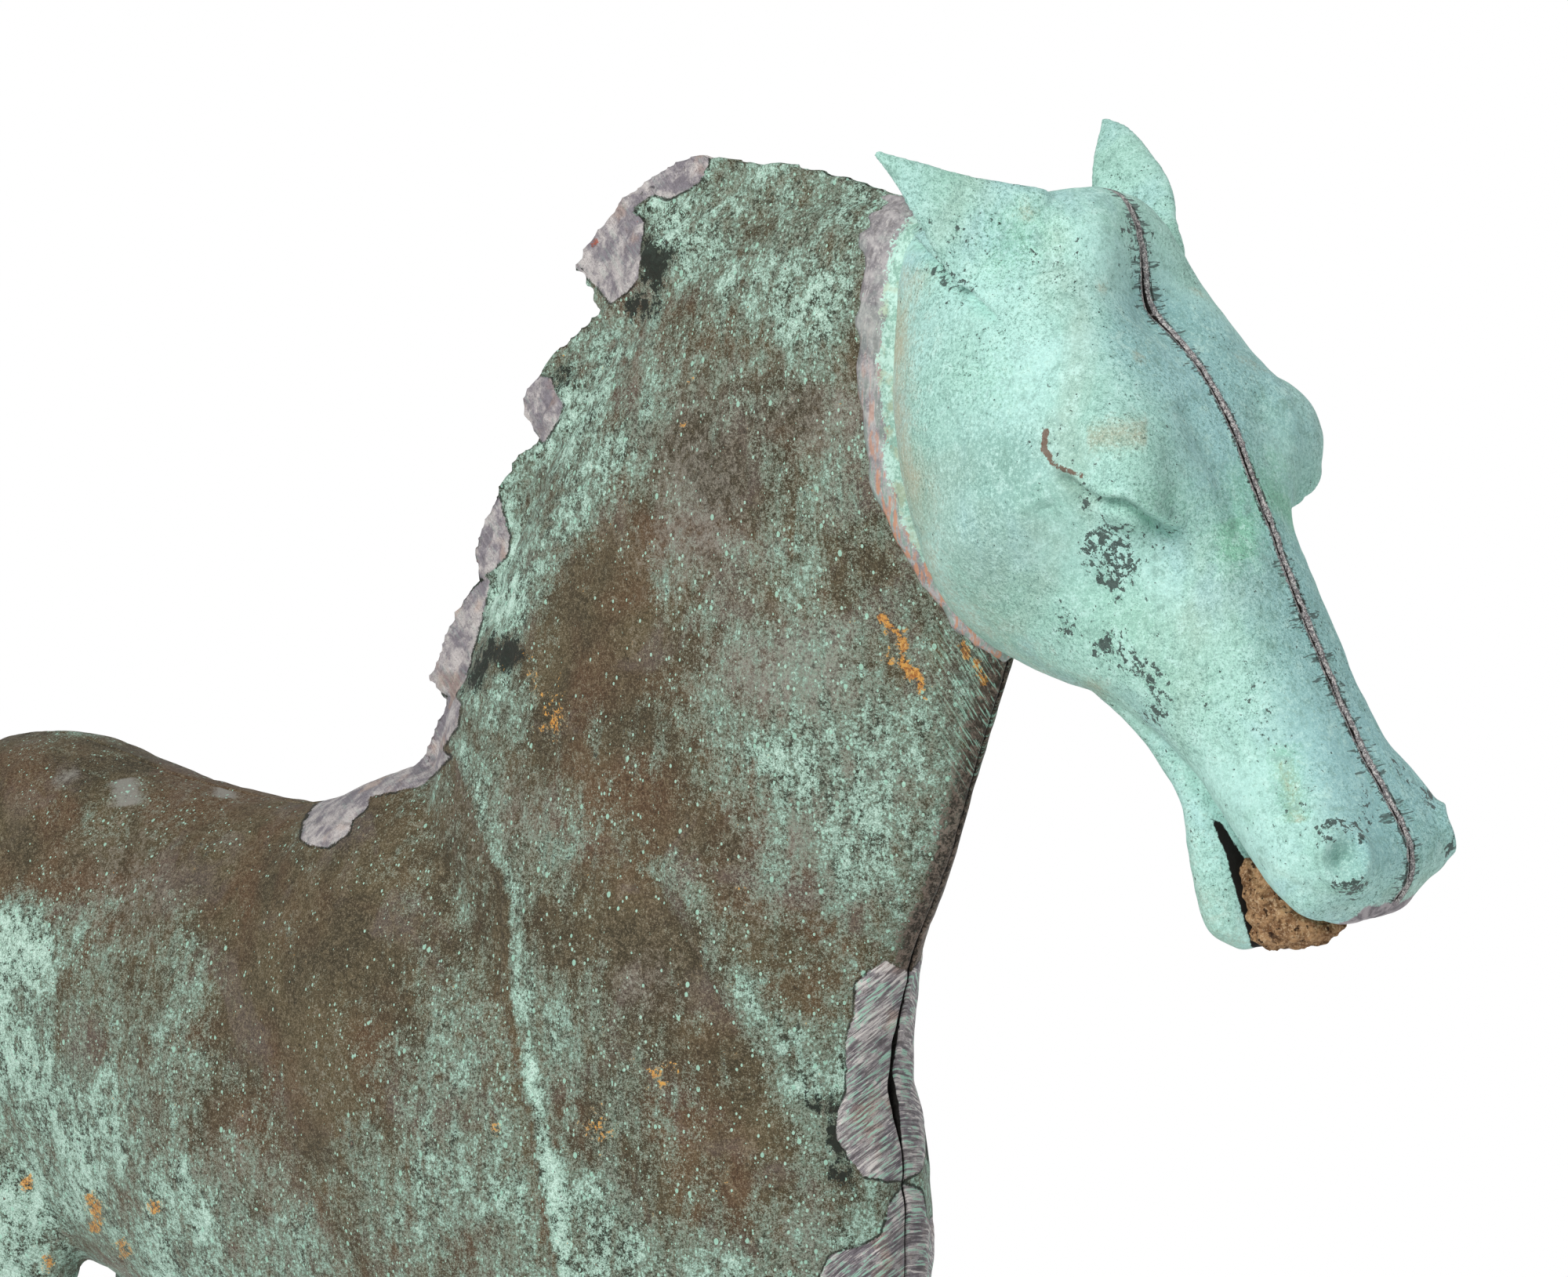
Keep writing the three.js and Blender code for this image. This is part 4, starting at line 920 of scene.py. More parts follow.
# the head's relief: lids and folds of the eye, cheek, forelock, lines beside the nose, lip and nostril
HEAD_MARKS = [
    (-4.2, 8, (1345, 600), (1383, 633), (1407, 643), (1433, 643), (1450, 653), (1467, 667), (1490, 678),
     (1513, 684)),
    (2.3, 10, (1345, 586), (1383, 619), (1407, 629), (1433, 629), (1452, 639), (1470, 653), (1493, 664),
     (1515, 670)),
    (2.6, 42, (1425, 702)), (-1.4, 20, (1325, 640), (1345, 680), (1365, 715), (1385, 745), (1420, 770)),
    (1.4, 50, (1440, 820)), (-.9, 22, (1463, 780), (1500, 830), (1540, 880)), (-1.2, 60, (1330, 640)),
    (-1.7, 15, (1504, 505), (1531, 560), (1558, 603), (1575, 646), (1590, 700)), (3.2, 48, (1395, 295)),
    (-1.5, 26, (1318, 300), (1330, 350)), (-2, 30, (1430, 365), (1465, 395)), (-.8, 60, (1340, 480)),
    (-1, 36, (1190, 255), (1250, 300)), (-.7, 18, (1545, 840), (1590, 920), (1625, 980), (1650, 1030)),
    (-2, 14, (1625, 980), (1650, 1030), (1666, 1080), (1678, 1120), (1693, 1143), (1712, 1156), (1741, 1155),
     (1766, 1138), (1784, 1110)),
    (.9, 14, (1620, 1105), (1650, 1148), (1685, 1172), (1720, 1176), (1745, 1170)), (1.3, 74, (1711, 1095)),
    (-4.6, 16, (1711, 1095)), (1, 30, (1480, 560)), (.8, 60, (1240, 640)),
    (-.7, 40, (1180, 480), (1200, 600)), (.6, 30, (1560, 760), (1640, 920))]
EAR_EDGE = [
    (1115, 200), (1123, 237), (1140, 267), (1160, 293), (1180, 313), (1207, 340), (1227, 360), (1247, 377),
    (1290, 420)]
# dark flecks, worn patches, painted shade (darker places on the cheek, in the nostril's hollow and in the groove
# before the brow), green places of the head, a bluish painted shade along the face's front, and the scar behind the
# eye
FLECKS = [
    (1.1, 30, (1408, 688)), (1, 24, (1418, 725)), (.35, 44, (1440, 700)), (1, 22, (1410, 824)),
    (.8, 18, (1445, 850)), (.9, 14, (1470, 870)), (.3, 40, (1420, 790)), (.35, 36, (1480, 900)),
    (.7, 14, (1358, 797)), (.5, 18, (1470, 905)), (.75, 22, (1445, 290)), (.65, 20, (1455, 330)),
    (.4, 40, (1350, 330)), (.6, 20, (1180, 330), (1245, 380)), (.5, 16, (1130, 250), (1180, 300)),
    (.35, 40, (1230, 300)), (.5, 20, (1370, 620), (1400, 640)), (.4, 20, (1500, 676)),
    (1, 10, (1680, 1075), (1700, 1055), (1725, 1058), (1745, 1080)),
    (1, 10, (1690, 1130), (1715, 1140), (1740, 1125)), (.3, 60, (1650, 1050)),
    (.3, 60, (1450, 1000), (1480, 1080)), (.5, 14, (1745, 1000), (1752, 1060)), (.45, 16, (1355, 780)),
    (.3, 30, (1590, 860), (1640, 960)), (.3, 60, (1330, 560))]
WORN = [
    (.72, 28, (1380, 552), (1470, 546)), (.5, 18, (1640, 960), (1655, 1060)),
    (.4, 50, (1150, 420), (1130, 560)), (.5, 18, (1310, 270)), (.5, 14, (1405, 370)), (.5, 16, (1455, 450)),
    (.5, 30, (1170, 350)), (.55, 26, (1100, 240), (1110, 330), (1130, 480)), (.5, 22, (1395, 875)),
    (.3, 40, (1170, 620))]
# painted shade: darker grey-green on the cheek, behind the eye, in the nostril's hollow and in the groove before the
# brow
PAINTED_SHADE = [
    (.35, 110, (1180, 520), (1240, 700)), (.7, 70, (1290, 590)), (.3, 60, (1330, 790)), (.1, 70, (1640, 960)),
    (.4, 60, (1180, 400)), (.3, 60, (1500, 960)), (.6, 50, (1700, 560)), (.6, 60, (1460, 430)),
    (1.1, 22, (1711, 1095)), (.2, 40, (1650, 1040)),
    (.5, 16, (1504, 505), (1531, 560), (1558, 603), (1575, 646))]
LEAF = [
    (.7, 26, (1690, 560), (1680, 610)), (.5, 20, (1570, 660), (1576, 720)), (.36, 60, (1307, 310)),
    (.5, 60, (1600, 640), (1590, 700)), (.5, 26, (1640, 940), (1650, 1060)),
    (.5, 30, (1100, 260), (1110, 330)), (.4, 60, (1480, 640)), (.3, 60, (1250, 480))]
# painted shade: a bluish tint along the seam down the face's front, on the forehead and at the cheek's rear
COOL_SHADE = [
    (.9, 90, (1520, 430), (1600, 600), (1700, 880), (1770, 1060)), (.5, 60, (1450, 420)),
    (.4, 80, (1260, 700))]
SCAR = [(1332, 545), (1330, 570), (1340, 588), (1352, 594), (1378, 602)]
# painted shadow: a near black strip where the jaws part
MOUTH_SHADOW = [
    [(1543, 1048), (1556, 1052), (1580, 1092), (1600, 1120), (1612, 1210), (1592, 1212), (1576, 1150),
     (1560, 1090)]]
NOSTRIL = (1711, 1095)
CROSSED = [(1, 60, (1440, 290), (1500, 430)), (1, 80, (1660, 800), (1780, 1100))]  # file marks across the seam
# rise, (x, z) and size of the muscles on both flanks
MUSCLES = [(3.4, (-250, -95), 60), (-2.2, (-170, -150), 34), (1.6, (-285, -45), 30), (2.0, (165, -140), 36),
           (-2.0, (36, -150), 18)]
# the file's strokes, as (across, along): they fall forwards on the neck's front edge and rise on the breast
NECK_FILE, CHEST_FILE = (np.array([(-math.sin(a), math.cos(a)), (math.cos(a), math.sin(a))]) for a in (1.0, -.65))


def seam_shape(p, n, depth=1.1, bead=.35):
    """Moves points at the centre line: a crack with a filed bead on either side."""
    y = np.abs(p[:, 1])
    edge = np.clip(1 - np.abs(n[:, 1]) * 1.2, 0, 1)
    lump = .75 + .5 * grain(p * [1, 0, 1], 5, 11, 2)
    return (bead * bell(y - 1.9, 1.1) * lump - depth * bell(y, .55)) * edge


def hair(q, p):
    """Strands pressed into the mane's root, -1 to 1, rising forwards."""
    wave = q @ np.array([.5, .87]) / 3.6 + 5 * grain(p, 20, 105, 3)
    return np.sin(wave) * (1 - smoothstep(to_line(q, CREST)[0], 60, 150)) * smoothstep(p[:, 2], 0, 40)


def opening(p):
    """Half the width of the crack in the breast's seam."""
    z = p[:, 2]
    gape = .45 * bell(z + 70, 32) + .7 * bell(z + 80, 10) + .3 * bell(z + 61, 4)
    return gape * (1 + .5 * grain(p * [1, 0, 1], 5, 42)) * (p[:, 0] > BREAST_X)


def solder_at(q, p, face):
    """The filed solder's patches, 0.5 on their outlines."""
    front = np.abs(p[:, 1]) < np.where(p[:, 0] > BREAST_X, 60, 34)
    deep = np.where(front, within(q, LOCKS + CHEST), -99)
    return np.clip(.5 + deep / 24, 0, 1) * smoothstep(face, -.95, -.6)


def body_field(p, n):
    """How far each point of the body's skin moves along its normal."""
    q, face = seen(p, n)
    shows = smoothstep(face, 0, .3)
    d, s, run = to_line(q, CREASE)
    ends = smoothstep(run, 0, .1) * (1 - smoothstep(run, .85, 1)) * shows
    rise = ends * np.where(s < 0, 2.4 * np.exp(-d / 90) + .7 * bell(d - 10, 12), -1.2 * bell(d, 26))
    rise += marks(q, BODY_MARKS) * shows
    side = smoothstep(np.abs(p[:, 1]), 8, 26)
    for high, place, size in MUSCLES:
        rise += side * high * spot(p, place, size)
    rise += .7 * grain(p, 55, 3, 2) + .34 * grain(p, 17, 5, 2) + .16 * grain(p, 6, 7) + .3 * hair(q, p)
    return rise + .55 * smoothstep(solder_at(q, p, face), .45, .75)


def wander(p, size, seed, near, far):
    """Shifts in pixels that make the marks' edges uneven, more so on the far side."""
    reach = np.where(p[:, 1] > 0, far, near)[:, None]
    return np.stack([grain(p, size, seed), grain(p, size, seed + 1)], 1) * reach


def body_paint(p, n):
    q, face = seen(p, n)
    near, ahead = smoothstep(face, -.1, .2), p[:, 0] > BREAST_X
    shift = wander(p, 90, 101, 8, 60)
    d, s, run = to_line(q, CREASE)
    green = spread(q + shift, GREEN) + .07 * hair(q, p) + .14 * grain(p, 34, 103, 2)
    green += (run < .95) * (.2 * bell(d - 12, 11) * (s < 0) - .25 * bell(d, 20) * (s > 0))
    d, s, run = to_line(q, GROOVE)
    green += .3 * bell(d - 34, 30) * (s < 0) * (run > .02) * (run < .98)
    over, down = (np.where(q[:, 1:] < 1050, q @ NECK_FILE.T, q @ CHEST_FILE.T) / [3.4, 36]).T
    return {
        "green": green, "solder": solder_at(q, p, face),
        "dark": np.clip(.6 + within(q, STAINS) / 40, 0, 1) * near,
        # the dark line of the breast's seam, and painted shade inside its opened crack
        "crack": (1 - smoothstep(np.abs(p[:, 1]) - opening(p), .3, .7)) * ahead,
        "rust": marks(q + shift * (p[:, 1:2] > 0), RUST) * near, "film": marks(q + shift, FILM),
        "filed": np.clip(.5 + within(q, STROKES) / 60, 0, 1) * near,
        "chest": smoothstep(q[:, 1], 1150, 1220),
        "front": bell(p[:, 1], 6.5) * smoothstep(p[:, 2], -50, -25) * (1 - smoothstep(p[:, 2], 70, 90)) * ahead,
        "over": over, "down": down}


def head_field(p, n):
    """How far each point of the head's skin moves along its normal."""
    q, face = seen(p, n)
    shows = smoothstep(face, .02, .3)
    side = smoothstep(np.abs(p[:, 1]), 8, 18)
    rise = marks(q, HEAD_MARKS) * shows * np.where(p[:, 1] > 0, .45, 1)
    rise += 1.8 * bell(np.hypot(*(q - NOSTRIL).T) - 28, 9) * shows
    d, s, run = to_line(q, EAR_EDGE)
    fade = smoothstep(run, .12, .35) * (1 - smoothstep(run, .82, 1)) * shows
    rise += fade * np.where(s > 0, -2.8 * bell(d, 15), 2.4 * bell(d, 34))
    rise += 5.0 * spot(p, on_head(.365, .12), 14) * smoothstep(p[:, 1], 18, 30)  # far brow
    rise += 3.2 * spot(p, on_head(1.035, .2), 9) * between(p, 9, 18)  # upper lip
    rise -= 2.6 * spot(p, on_head(.5, .25), 15) * side  # eye socket
    rise += 2.4 * spot(p, on_head(.26, .6), 34) * side  # cheek
    rise -= 1.6 * spot(p, on_head(.8, .22), 17) * smoothstep(np.abs(p[:, 1]), 12, 20)  # beside the nose
    return rise + .45 * grain(p, 30, 21, 2) + .2 * grain(p, 9, 23, 2) + .07 * grain(p, 3.5, 24)


def head_paint(p, n):
    q, face = seen(p, n)
    near = smoothstep(face, -.1, .2)
    q = q + wander(p, 30, 111, 5, 26)
    flat = p[:, [0, 2]] - POLL
    rear = smoothstep(flat @ INWARD / HEAD_DEPTH - .58 + .25 * (flat @ ALONG) / HEAD_LENGTH, 0, .4)
    return {
        "fleck": marks(q, FLECKS) * near, "worn": marks(q, WORN) * near + .45 * rear,
        # painted shade: a bluish tint along the face's front
        # painted shade: darker places on the cheek and in the head's hollows
        "leaf": marks(q, LEAF) * near, "cool_shade": marks(q, COOL_SHADE), "painted_shade": marks(q, PAINTED_SHADE),
        "scar": bell(to_line(q, SCAR)[0], 5) * (p[:, 1] < -10), "marks": marks(q, CROSSED),
        # painted shadow in the gap between the jaws
        "mouth": np.clip(.5 + within(q, MOUTH_SHADOW) / 16, 0, 1) * (np.abs(p[:, 1]) < 26),
        "lip": spot(p, on_head(1.062, .19), 7.5) * between(p, 10, 17)}


# ---------- materials ----------
def copper():
    n = Nodes("weathered copper")
    green, solder, dark, rust, film, filed, chest, front, crack, over, down = n.attrs(
        "green", "solder", "dark", "rust", "film", "filed", "chest", "front", "crack", "over", "down")
    clouds = n.swing(32, 4, .6, .5)
    streaks = n.swing(120, 4, .65, .3, n.stretch((1.5, 1.5, .3)))
    patch = n.swing(100, 4, .65, .6)
    mid, fine, grit = n.swing(330, 5, .7, .4), n.swing(1000, 3, .75), n.swing(2300, 2, .7)
    dust = fine + grit
    # worn metal, brown with reddish clouds and a thin grey film
    base = (n.mix(clouds.step(-.13, .13), "423b2b", "5c513a")
            .coat("664733", n.noise(17, 3, .55, .6), .44, .62, .5)
            .coat("6c605c", n.noise(24, 4, .6, .9), .52, .66, .5)
            .coat("7e7157", mid, -.06, .18, .45)
            .coat("978b74", dust, .02, .2, .45)
            .coat("2c261b", dust, -.02, -.18, .65)
            .coat("96948d", film + mid * 1.6 + clouds * 1.4 + dust * .9, .1, 1.15, .75))
    # a haze of green, dark pockets in it, then the crust and its grains
    level = green * 1.3 - .2 + clouds * .9 + streaks * 1.1 + patch
    rough = mid * 1.5 + fine * 1.3 + grit * .8
    heap = level + rough
    body = heap.step(.6, .76)
    pocket = level.step(.3, .7) * patch.step(.1, -.06) * rough.step(.02, -.18)
    color = (base
             .coat(n.mix(fine.step(-.1, .1), "6f806f", "949f90"), level + mid * .9 + fine * .9 + grit * 1.5,
                   .18, .62, .85)
             .coat("262a21", pocket * .9)
             .coat(n.mix((heap + grit).step(.68, 1.3), "87a292", "c4dfd1"), body * .92))
    gather = level + clouds * 1.2
    drops = 0.0
    for scale, size, few, many, shade in ((430, .36, .995, .84, "a6d2bd"), (850, .42, .985, .68, "b1d8c5")):
        distance, tint = n.cells(scale, n.stretch((1, 1, .72)))
        chance, swell, *_ = n.split(tint, "Color")
        chosen = n.math("GREATER_THAN", chance, gather.step(-.3, .9, (few, many), "LINEAR"))
        drop = chosen * n.math("LESS_THAN", distance, (swell * .7 + .3) * size)
        color = color.coat(shade, drop * .78)
        drops = n.math("MAXIMUM", drops, drop)
    ragged = mid * 1.1 + fine * .7
    stain = (dark + (ragged + streaks * .8) * 1.8).step(.46, .53)
    band = (front + ragged * 1.2 + streaks * .8).step(.34, .5)
    pits = n.noise(430, 3, .65).step(.66, .7)
    orange = (rust + ragged * 2.6).step(.7, .82)
    # lead solder with file strokes
    strokes = n.swing(1, 3, .65, .3, n.fed(n.new("ShaderNodeCombineXYZ"), over, down))
    clear = chest.step(0, 1, (.12, 1))
    cut = filed * .8
    edge = solder + clouds * .5 + ragged * .28
    sold = edge.step(.47, .54)
    lead = (n.mix(n.noise(130, 5, .7).step(.4, .62), "827c82", "c4bdba")
            .coat("6c6468", chest * .35)
            .coat("b39685", n.noise(60, 3, .6), .55, .68, .5)
            .coat("5a5355", grit, -.02, -.14, .5)
            .coat(n.mix(patch.step(-.04, .04), "d3cdc8", "9fcbb6"), strokes.step(.02, .07) * clear * .85)
            .coat("453f41", strokes.step(-.03, -.08) * clear * .65))
    color = (color
             .coat("1f211b", stain * .96)
             .coat(n.mix((mid + fine).step(-.12, .16), "2b241e", "7b6a5f"), band * .92)
             .coat("2f2b22", pits * .6)
             .coat(n.mix(fine.step(-.1, .1), "9c5a2a", "dba24c"), orange * .85)
             .coat("9cc9b5", strokes.step(.04, .11) * cut)
             .coat("3a342b", strokes.step(.02, -.07) * cut)
             .coat("24251f", edge.step(.36, .41) * patch.step(-.06, .02, (.25, .9)))
             .coat(lead, sold)
             .coat("9c4a30", orange * sold * .8)
             # near black: the seam's dark line, and painted shade in the opened crack
             .coat("15120f", crack, .35, .65))
    gloss = n.mix(sold, n.mix(body, (.55,) * 3, (.86,) * 3), (.5,) * 3)
    metal = (1.0 - n.math("MAXIMUM", body, stain)) * .25
    marked = strokes * n.math("MAXIMUM", sold, cut) * 3.0
    height = body * .6 + fine * .9 + drops * .7 + sold * .8 + pits * -.5 + marked
    return n.done(color, gloss, metal, n.bump(n.noise(48, 3, .5), .25, .0016, n.bump(height, .6, .0004)))


def casting():
    n = Nodes("patinated casting")
    fleck, worn, leaf, cool_shade, scar, lip, crossed, mouth, painted_shade = n.attrs(
        "fleck", "worn", "leaf", "cool_shade", "scar", "lip", "marks", "mouth", "painted_shade")
    clouds, mid = n.swing(26, 4, .6, .4), n.swing(240, 5, .72, .4)
    fine, grit = n.swing(900, 4, .75), n.swing(2300, 2, .7)
    ragged, dust = mid + fine * .9, fine + grit * .8
    worked = n.noise(22, 4, .6, .4).step(.38, .6, (.2, .7))
    specks = n.noise(900, 3, .7) + n.noise(30, 4, .65, .3).step(.46, .68, (0, .09))
    pit = (n.math("MINIMUM", fleck, .74) * .24 + n.noise(390, 4, .7, .2)).step(.685, .7)
    color = (n.mix(clouds.step(-.14, .14), "9dc8ba", "b2dbd3")
             .coat("96c2aa", n.noise(11, 3, .6), .44, .62, .38)
             .coat("a3b8a9", n.noise(15, 4, .6, .8), .5, .66, .55)
             .coat("9fc6cb", n.noise(19, 4, .6, .5), .52, .66, .5)
             # painted shade, a bluish tint where the face turns from the light
             .coat("90bfc6", cool_shade + ragged * .6, .1, 1.0, .65)
             .coat("80bd9c", leaf + ragged * 1.1 + clouds, .1, .9, .8)
             # painted shade, darker grey-green on the cheek and in the head's hollows
             .coat("779f94", painted_shade + ragged * 1.6, .1, 1.2, .8)
             .coat("c9ebe2", mid, 0, .2, .6)
             .coat("7b9f93", mid, 0, -.18, .6)
             .coat(n.mix(clouds.step(-.1, .1), "959a80", "b3a284"), worn + ragged, .2, .95, .75)
             .coat("64877c", dust.step(.03, .14) * worked)
             .coat("cbeee5", dust, -.05, -.16, .45)
             .coat("303c37", specks + fleck * .1, .715, .73)
             .coat(n.mix(fine.step(-.1, .1), "2c3431", "4b5753"), pit * .92)
             # painted shadow, near black, in the gap between the jaws
             .coat("14110e", mouth + ragged * .4, .45, .55)
             .coat("6b4534", scar + ragged * 1.3, .55, .75, .85))
    # the seam: a dark crack in grey solder, dark flecks beside it and fine cross marks left by the file
    across = abs(n.split(n.pos)[1]) * 1000
    reach = (n.noise(260, 3, .7, 0, n.stretch((1, 0, 1))) - .32) * crossed.step(0, 1, (12, 26))
    filed = n.math("LESS_THAN", across, reach) * n.noise(1100, 2, .6, 0, n.stretch((1, .06, 1))).step(.5, .58)
    border = abs(across - 2.1).step(.8, .4) * ragged.step(0, .07)
    color = (color
             .coat("4c5a56", filed * .85)
             .coat(n.mix((fine + grit).step(-.04, .1), "6e6567", "d0cac6"), across + ragged * 2.8, 1.95, 1.75, .92)
             .coat("2a2b27", border * .9)
             .coat("1c1916", across + mid * 1.6, .5, .3)
             .coat(n.mix(mid.step(-.12, .12), "6f6a6e", "aaa3a5"), lip + ragged * .4, .4, .5))
    normal = n.bump(mid * 1.2 + fine * 1.1 + pit * -.9 + filed * -.5, .5, .00035)
    return n.done(color, pit.step(0, 1, (.7, .5)), .05, n.bump(n.noise(60, 3, .5), .2, .0012, normal))


def lead():
    n = Nodes("lead solder")
    rust, cast = n.attrs("rust", "cast")
    mid, fine = n.swing(160, 5, .7, .3), n.swing(900, 3, .7)
    files = n.swing(420, 3, .65, .3, n.stretch((1.2, 1.2, .25), (0, .25, 0)))
    green = n.mix((mid + fine).step(-.14, .16), "86ab9b", "b9dacd").coat("a5a88a", n.noise(90, 4, .65), .5, .62, .6)
    color = (n.mix(mid.step(-.15, .16), "7c787b", "b3aead")
             .coat("c9c4c0", fine, 0, .15, .5)
             .coat("93ab9e", n.noise(70, 4, .6), .5, .62, .25)
             .coat("c08a6c", files.step(0, .1) * rust * .85)
             .coat("a3cdb9", files.step(-.02, -.1) * rust * .5)
             .coat("544f50", files, -.03, -.12, .4)
             .coat(green, cast + (mid + fine) * 1.6, .46, .54))
    return n.done(color, .55, .15, n.bump(mid * .7 + fine * .6 + files * .9, .6, .0005))


def mud():
    n = Nodes("dried mud")
    mid, fine = n.noise(330, 5, .75, .5), n.noise(1200, 3, .7)
    color = (n.mix(mid.step(.36, .64), "6a4a30", "ad8963")
             .coat("d0b592", fine, .5, .66, .6)
             .coat("3c2413", n.noise(210, 4, .65), .45, .36, .75)
             .coat("22140b", n.noise(520, 3, .6), .42, .36, .9))
    return n.done(color, .95, 0.0, n.bump(mid + fine * .6, .9, .0009))


def iron(name, low, high, rust):
    n = Nodes(name)
    mid, fine = n.noise(90, 5, .65, .3), n.noise(500, 3, .6)
    color = (n.mix(mid.step(.35, .7), low, high)
             .coat("7a4a2c", n.noise(45, 5, .7, .5), .58, .68, rust)
             .coat("6c6760", fine, .6, .7, .3))
    return n.done(color, mid.step(.3, .7, (.45, .68)), .55, n.bump(mid + fine * .5, .35, .0004))


def yellow_metal(name, low, high):
    n = Nodes(name)
    mid = n.noise(120, 4, .6, .3, n.stretch((1, 1, .4)))
    color = n.mix(mid.step(.35, .7), low, high).coat("5f7f6c", n.noise(50, 4, .6), .55, .7, .5)
    return n.done(color, mid.step(.3, .7, (.38, .55)), .8, n.bump(mid, .15, .0003))


COPPER, CASTING, LEAD, MUD = copper(), casting(), lead(), mud()
IRON = iron("cast iron", "26241f", "3a3733", .35)
STEEL = iron("spindle steel", "4b4540", "6d665f", .7)
BRASS = yellow_metal("brass", "7d6534", "a88c50")
BRONZE = yellow_metal("bronze", "6d4c28", "94703f")


# ---------- the horse ----------
def build_body():
    v, quads = fuse([trunk(), neck(), *crest(), *(leg.shape() for leg in LEGS)], BODY_VOXEL)
    in_mane = (np.abs(v[:, 1]) < 4.5) & (v[:, 2] > -20) & (v[:, 0] < BREAST_X)
    weight = np.where(in_mane, .08, 1 - .55 * smoothstep(-v[:, 2], 215, 260))
    v = relax(v, quads, 34, weight)
    # the breast's seam lies in a shallow valley
    v[:, 0] -= 3.6 * bell(v[:, 1], 8) * bell(v[:, 2] + 80, 40) * (v[:, 0] > BREAST_X)
    skin = Skin(v, quads)
    skin.slices(0, both_sides(HALF_GAP, .7, 1.7, 3.2))
    for leg in LEGS:
        skin.cut((leg.at[0], 0, leg.at[1]), (leg.run[0], 0, leg.run[1]), leg.at_joint)
        skin.slices(leg.centre, (-.9, -HALF_GAP, HALF_GAP, .9), leg.is_lower)
    p, n = skin.points(), skin.normals()
    rise = body_field(p, n) * (1 - .6 * smoothstep(-p[:, 2], 200, 260)) + seam_shape(p, n) * (p[:, 2] > -255)
    for leg in LEGS:
        along = leg.along(p[:, 0], p[:, 2])
        mine = (p[:, 1] * leg.side > 0) & (along > -2) & (p[:, 2] < -180)
        rise -= mine * (.6 * bell(p[:, 1] - leg.centre, .5) * (along > 1) + .7 * bell(along, 1.2))
    p = p + n * rise[:, None]
    p[:, 1] += np.sign(p[:, 1]) * between(p, 1.5, 5) * opening(p) * (1 + .4 * grain(p * [1, 0, 1], 9, 41))
    c = skin.centres()
    skin.move(p)
    labels = halves(c)
    parts = {0: ("body_right", "copper_brown"), 1: ("body_left", "copper_brown")}
    for k, leg in enumerate(LEGS):
        mine = ((c[:, 1] * leg.side > GAP_LABEL) & (leg.along(c[:, 0], c[:, 2]) > 0) & (c[:, 2] < -175)
                & ((leg.across(c[:, 0], c[:, 2]) < leg.reach) | (c[:, 2] < TRUNK_UNDER))
                & ((c[:, 0] > LEGS_APART_X) == (leg.end == "fore")))
        out = (c[:, 1] - leg.centre) * leg.side
        for label, half, where in ((10 + 2 * k, "outer", out > 0), (11 + 2 * k, "inner", out <= 0)):
            labels[mine & where] = label
            parts[label] = (f"{leg.end}_leg_{leg.word}_{half}", "copper_green")
        labels[mine & (np.abs(out) < GAP_LABEL)] = -1
    for label, (node, slot) in parts.items():
        piece("skin_" + node, skin.take(labels, label), COPPER, slot, node, paint=body_paint)
    return skin


HOOF_LENGTH = 1.05 * LEG_WIDTH
# down from the leg's end, then half depth and half width (of the leg's end)
HOOF = [(.3, .9, .9), (.6, 1.0, 1.0), (2.4, 1.1, 1.12), (4.2, 1.09, 1.1), (5.2, 1.03, 1.04), (7, 1.06, 1.07),
        (13, 1.15, 1.16), (20, 1.24, 1.25),
        *((HOOF_LENGTH - up, 1.28 * k, 1.3 * k) for up, k in
          ((.05 * HOOF_LENGTH, 1), (.015 * HOOF_LENGTH, .985), (0, .94), (0, .8), (1.6, .76)))]


def hooves():
    for leg in LEGS:
        run = unit(leg.table[-1, :2] - leg.table[-2, :2])
        x, z, deep, half = leg.table[-1]
        across = np.array([-run[1], run[0]])
        across *= deep * np.sign(across[0])
        rings = []
        for d, a, b in HOOF:
            mid = np.array([x, z]) + run * d
            rings.append(ring(mid + across * a, mid - across * a, half * b, centre=leg.centre, count=64))
        piece("hoof_" + leg.name, loft(rings), COPPER, "copper_green", f"{leg.end}_hoof_{leg.word}",
              paint=lambda p, n: {"green": .6 + .2 * grain(p, 12, 63)})


def tail_paint(p, n):
    return {"green": .5 + .2 * grain(p, 40, 61), "dark": .15 + .2 * grain(p, 12, 62),
            "film": .3 + .3 * grain(p, 30, 64)}


def tail():
    r = np.array(TAIL)
    rows = curve(np.stack([behind(DOCK[0]) - r[:, 0] * TAIL_LENGTH, below(DOCK[1]) + r[:, 1] * TAIL_LENGTH,
                           r[:, 2] * TAIL_WIDTH, r[:, 3] * TAIL_WIDTH], 1), 8)
    rings = limb_rings(rows, 0.0, 144)
    t = turns(144)
    for k, rg in enumerate(rings):
        share = k / (len(rings) - 1)
        wave = (.5 * np.cos(11 * t + 5 * share) + .35 * np.cos(23 * t - 7 * share + 1.3)
                + .3 * np.cos(5 * t + 3 * share))
        out = rg - rg.mean(0)
        out /= np.maximum(np.linalg.norm(out, axis=1), 1e-6)[:, None]
        rings[k] = rg + out * (wave * 2.1 * smoothstep(share, .03, .25) * (1 - .4 * share))[:, None]
    skin = Skin(*loft(rings))
    skin.slices(0, (-.8, -HALF_GAP, HALF_GAP, .8))
    p = skin.points()
    rise = -.7 * bell(p[:, 1], .5) + .25 * grain(p, 14, 51, 2)
    two_halves("skin_tail", "tail", skin, rise, COPPER, "copper_brown", tail_paint)


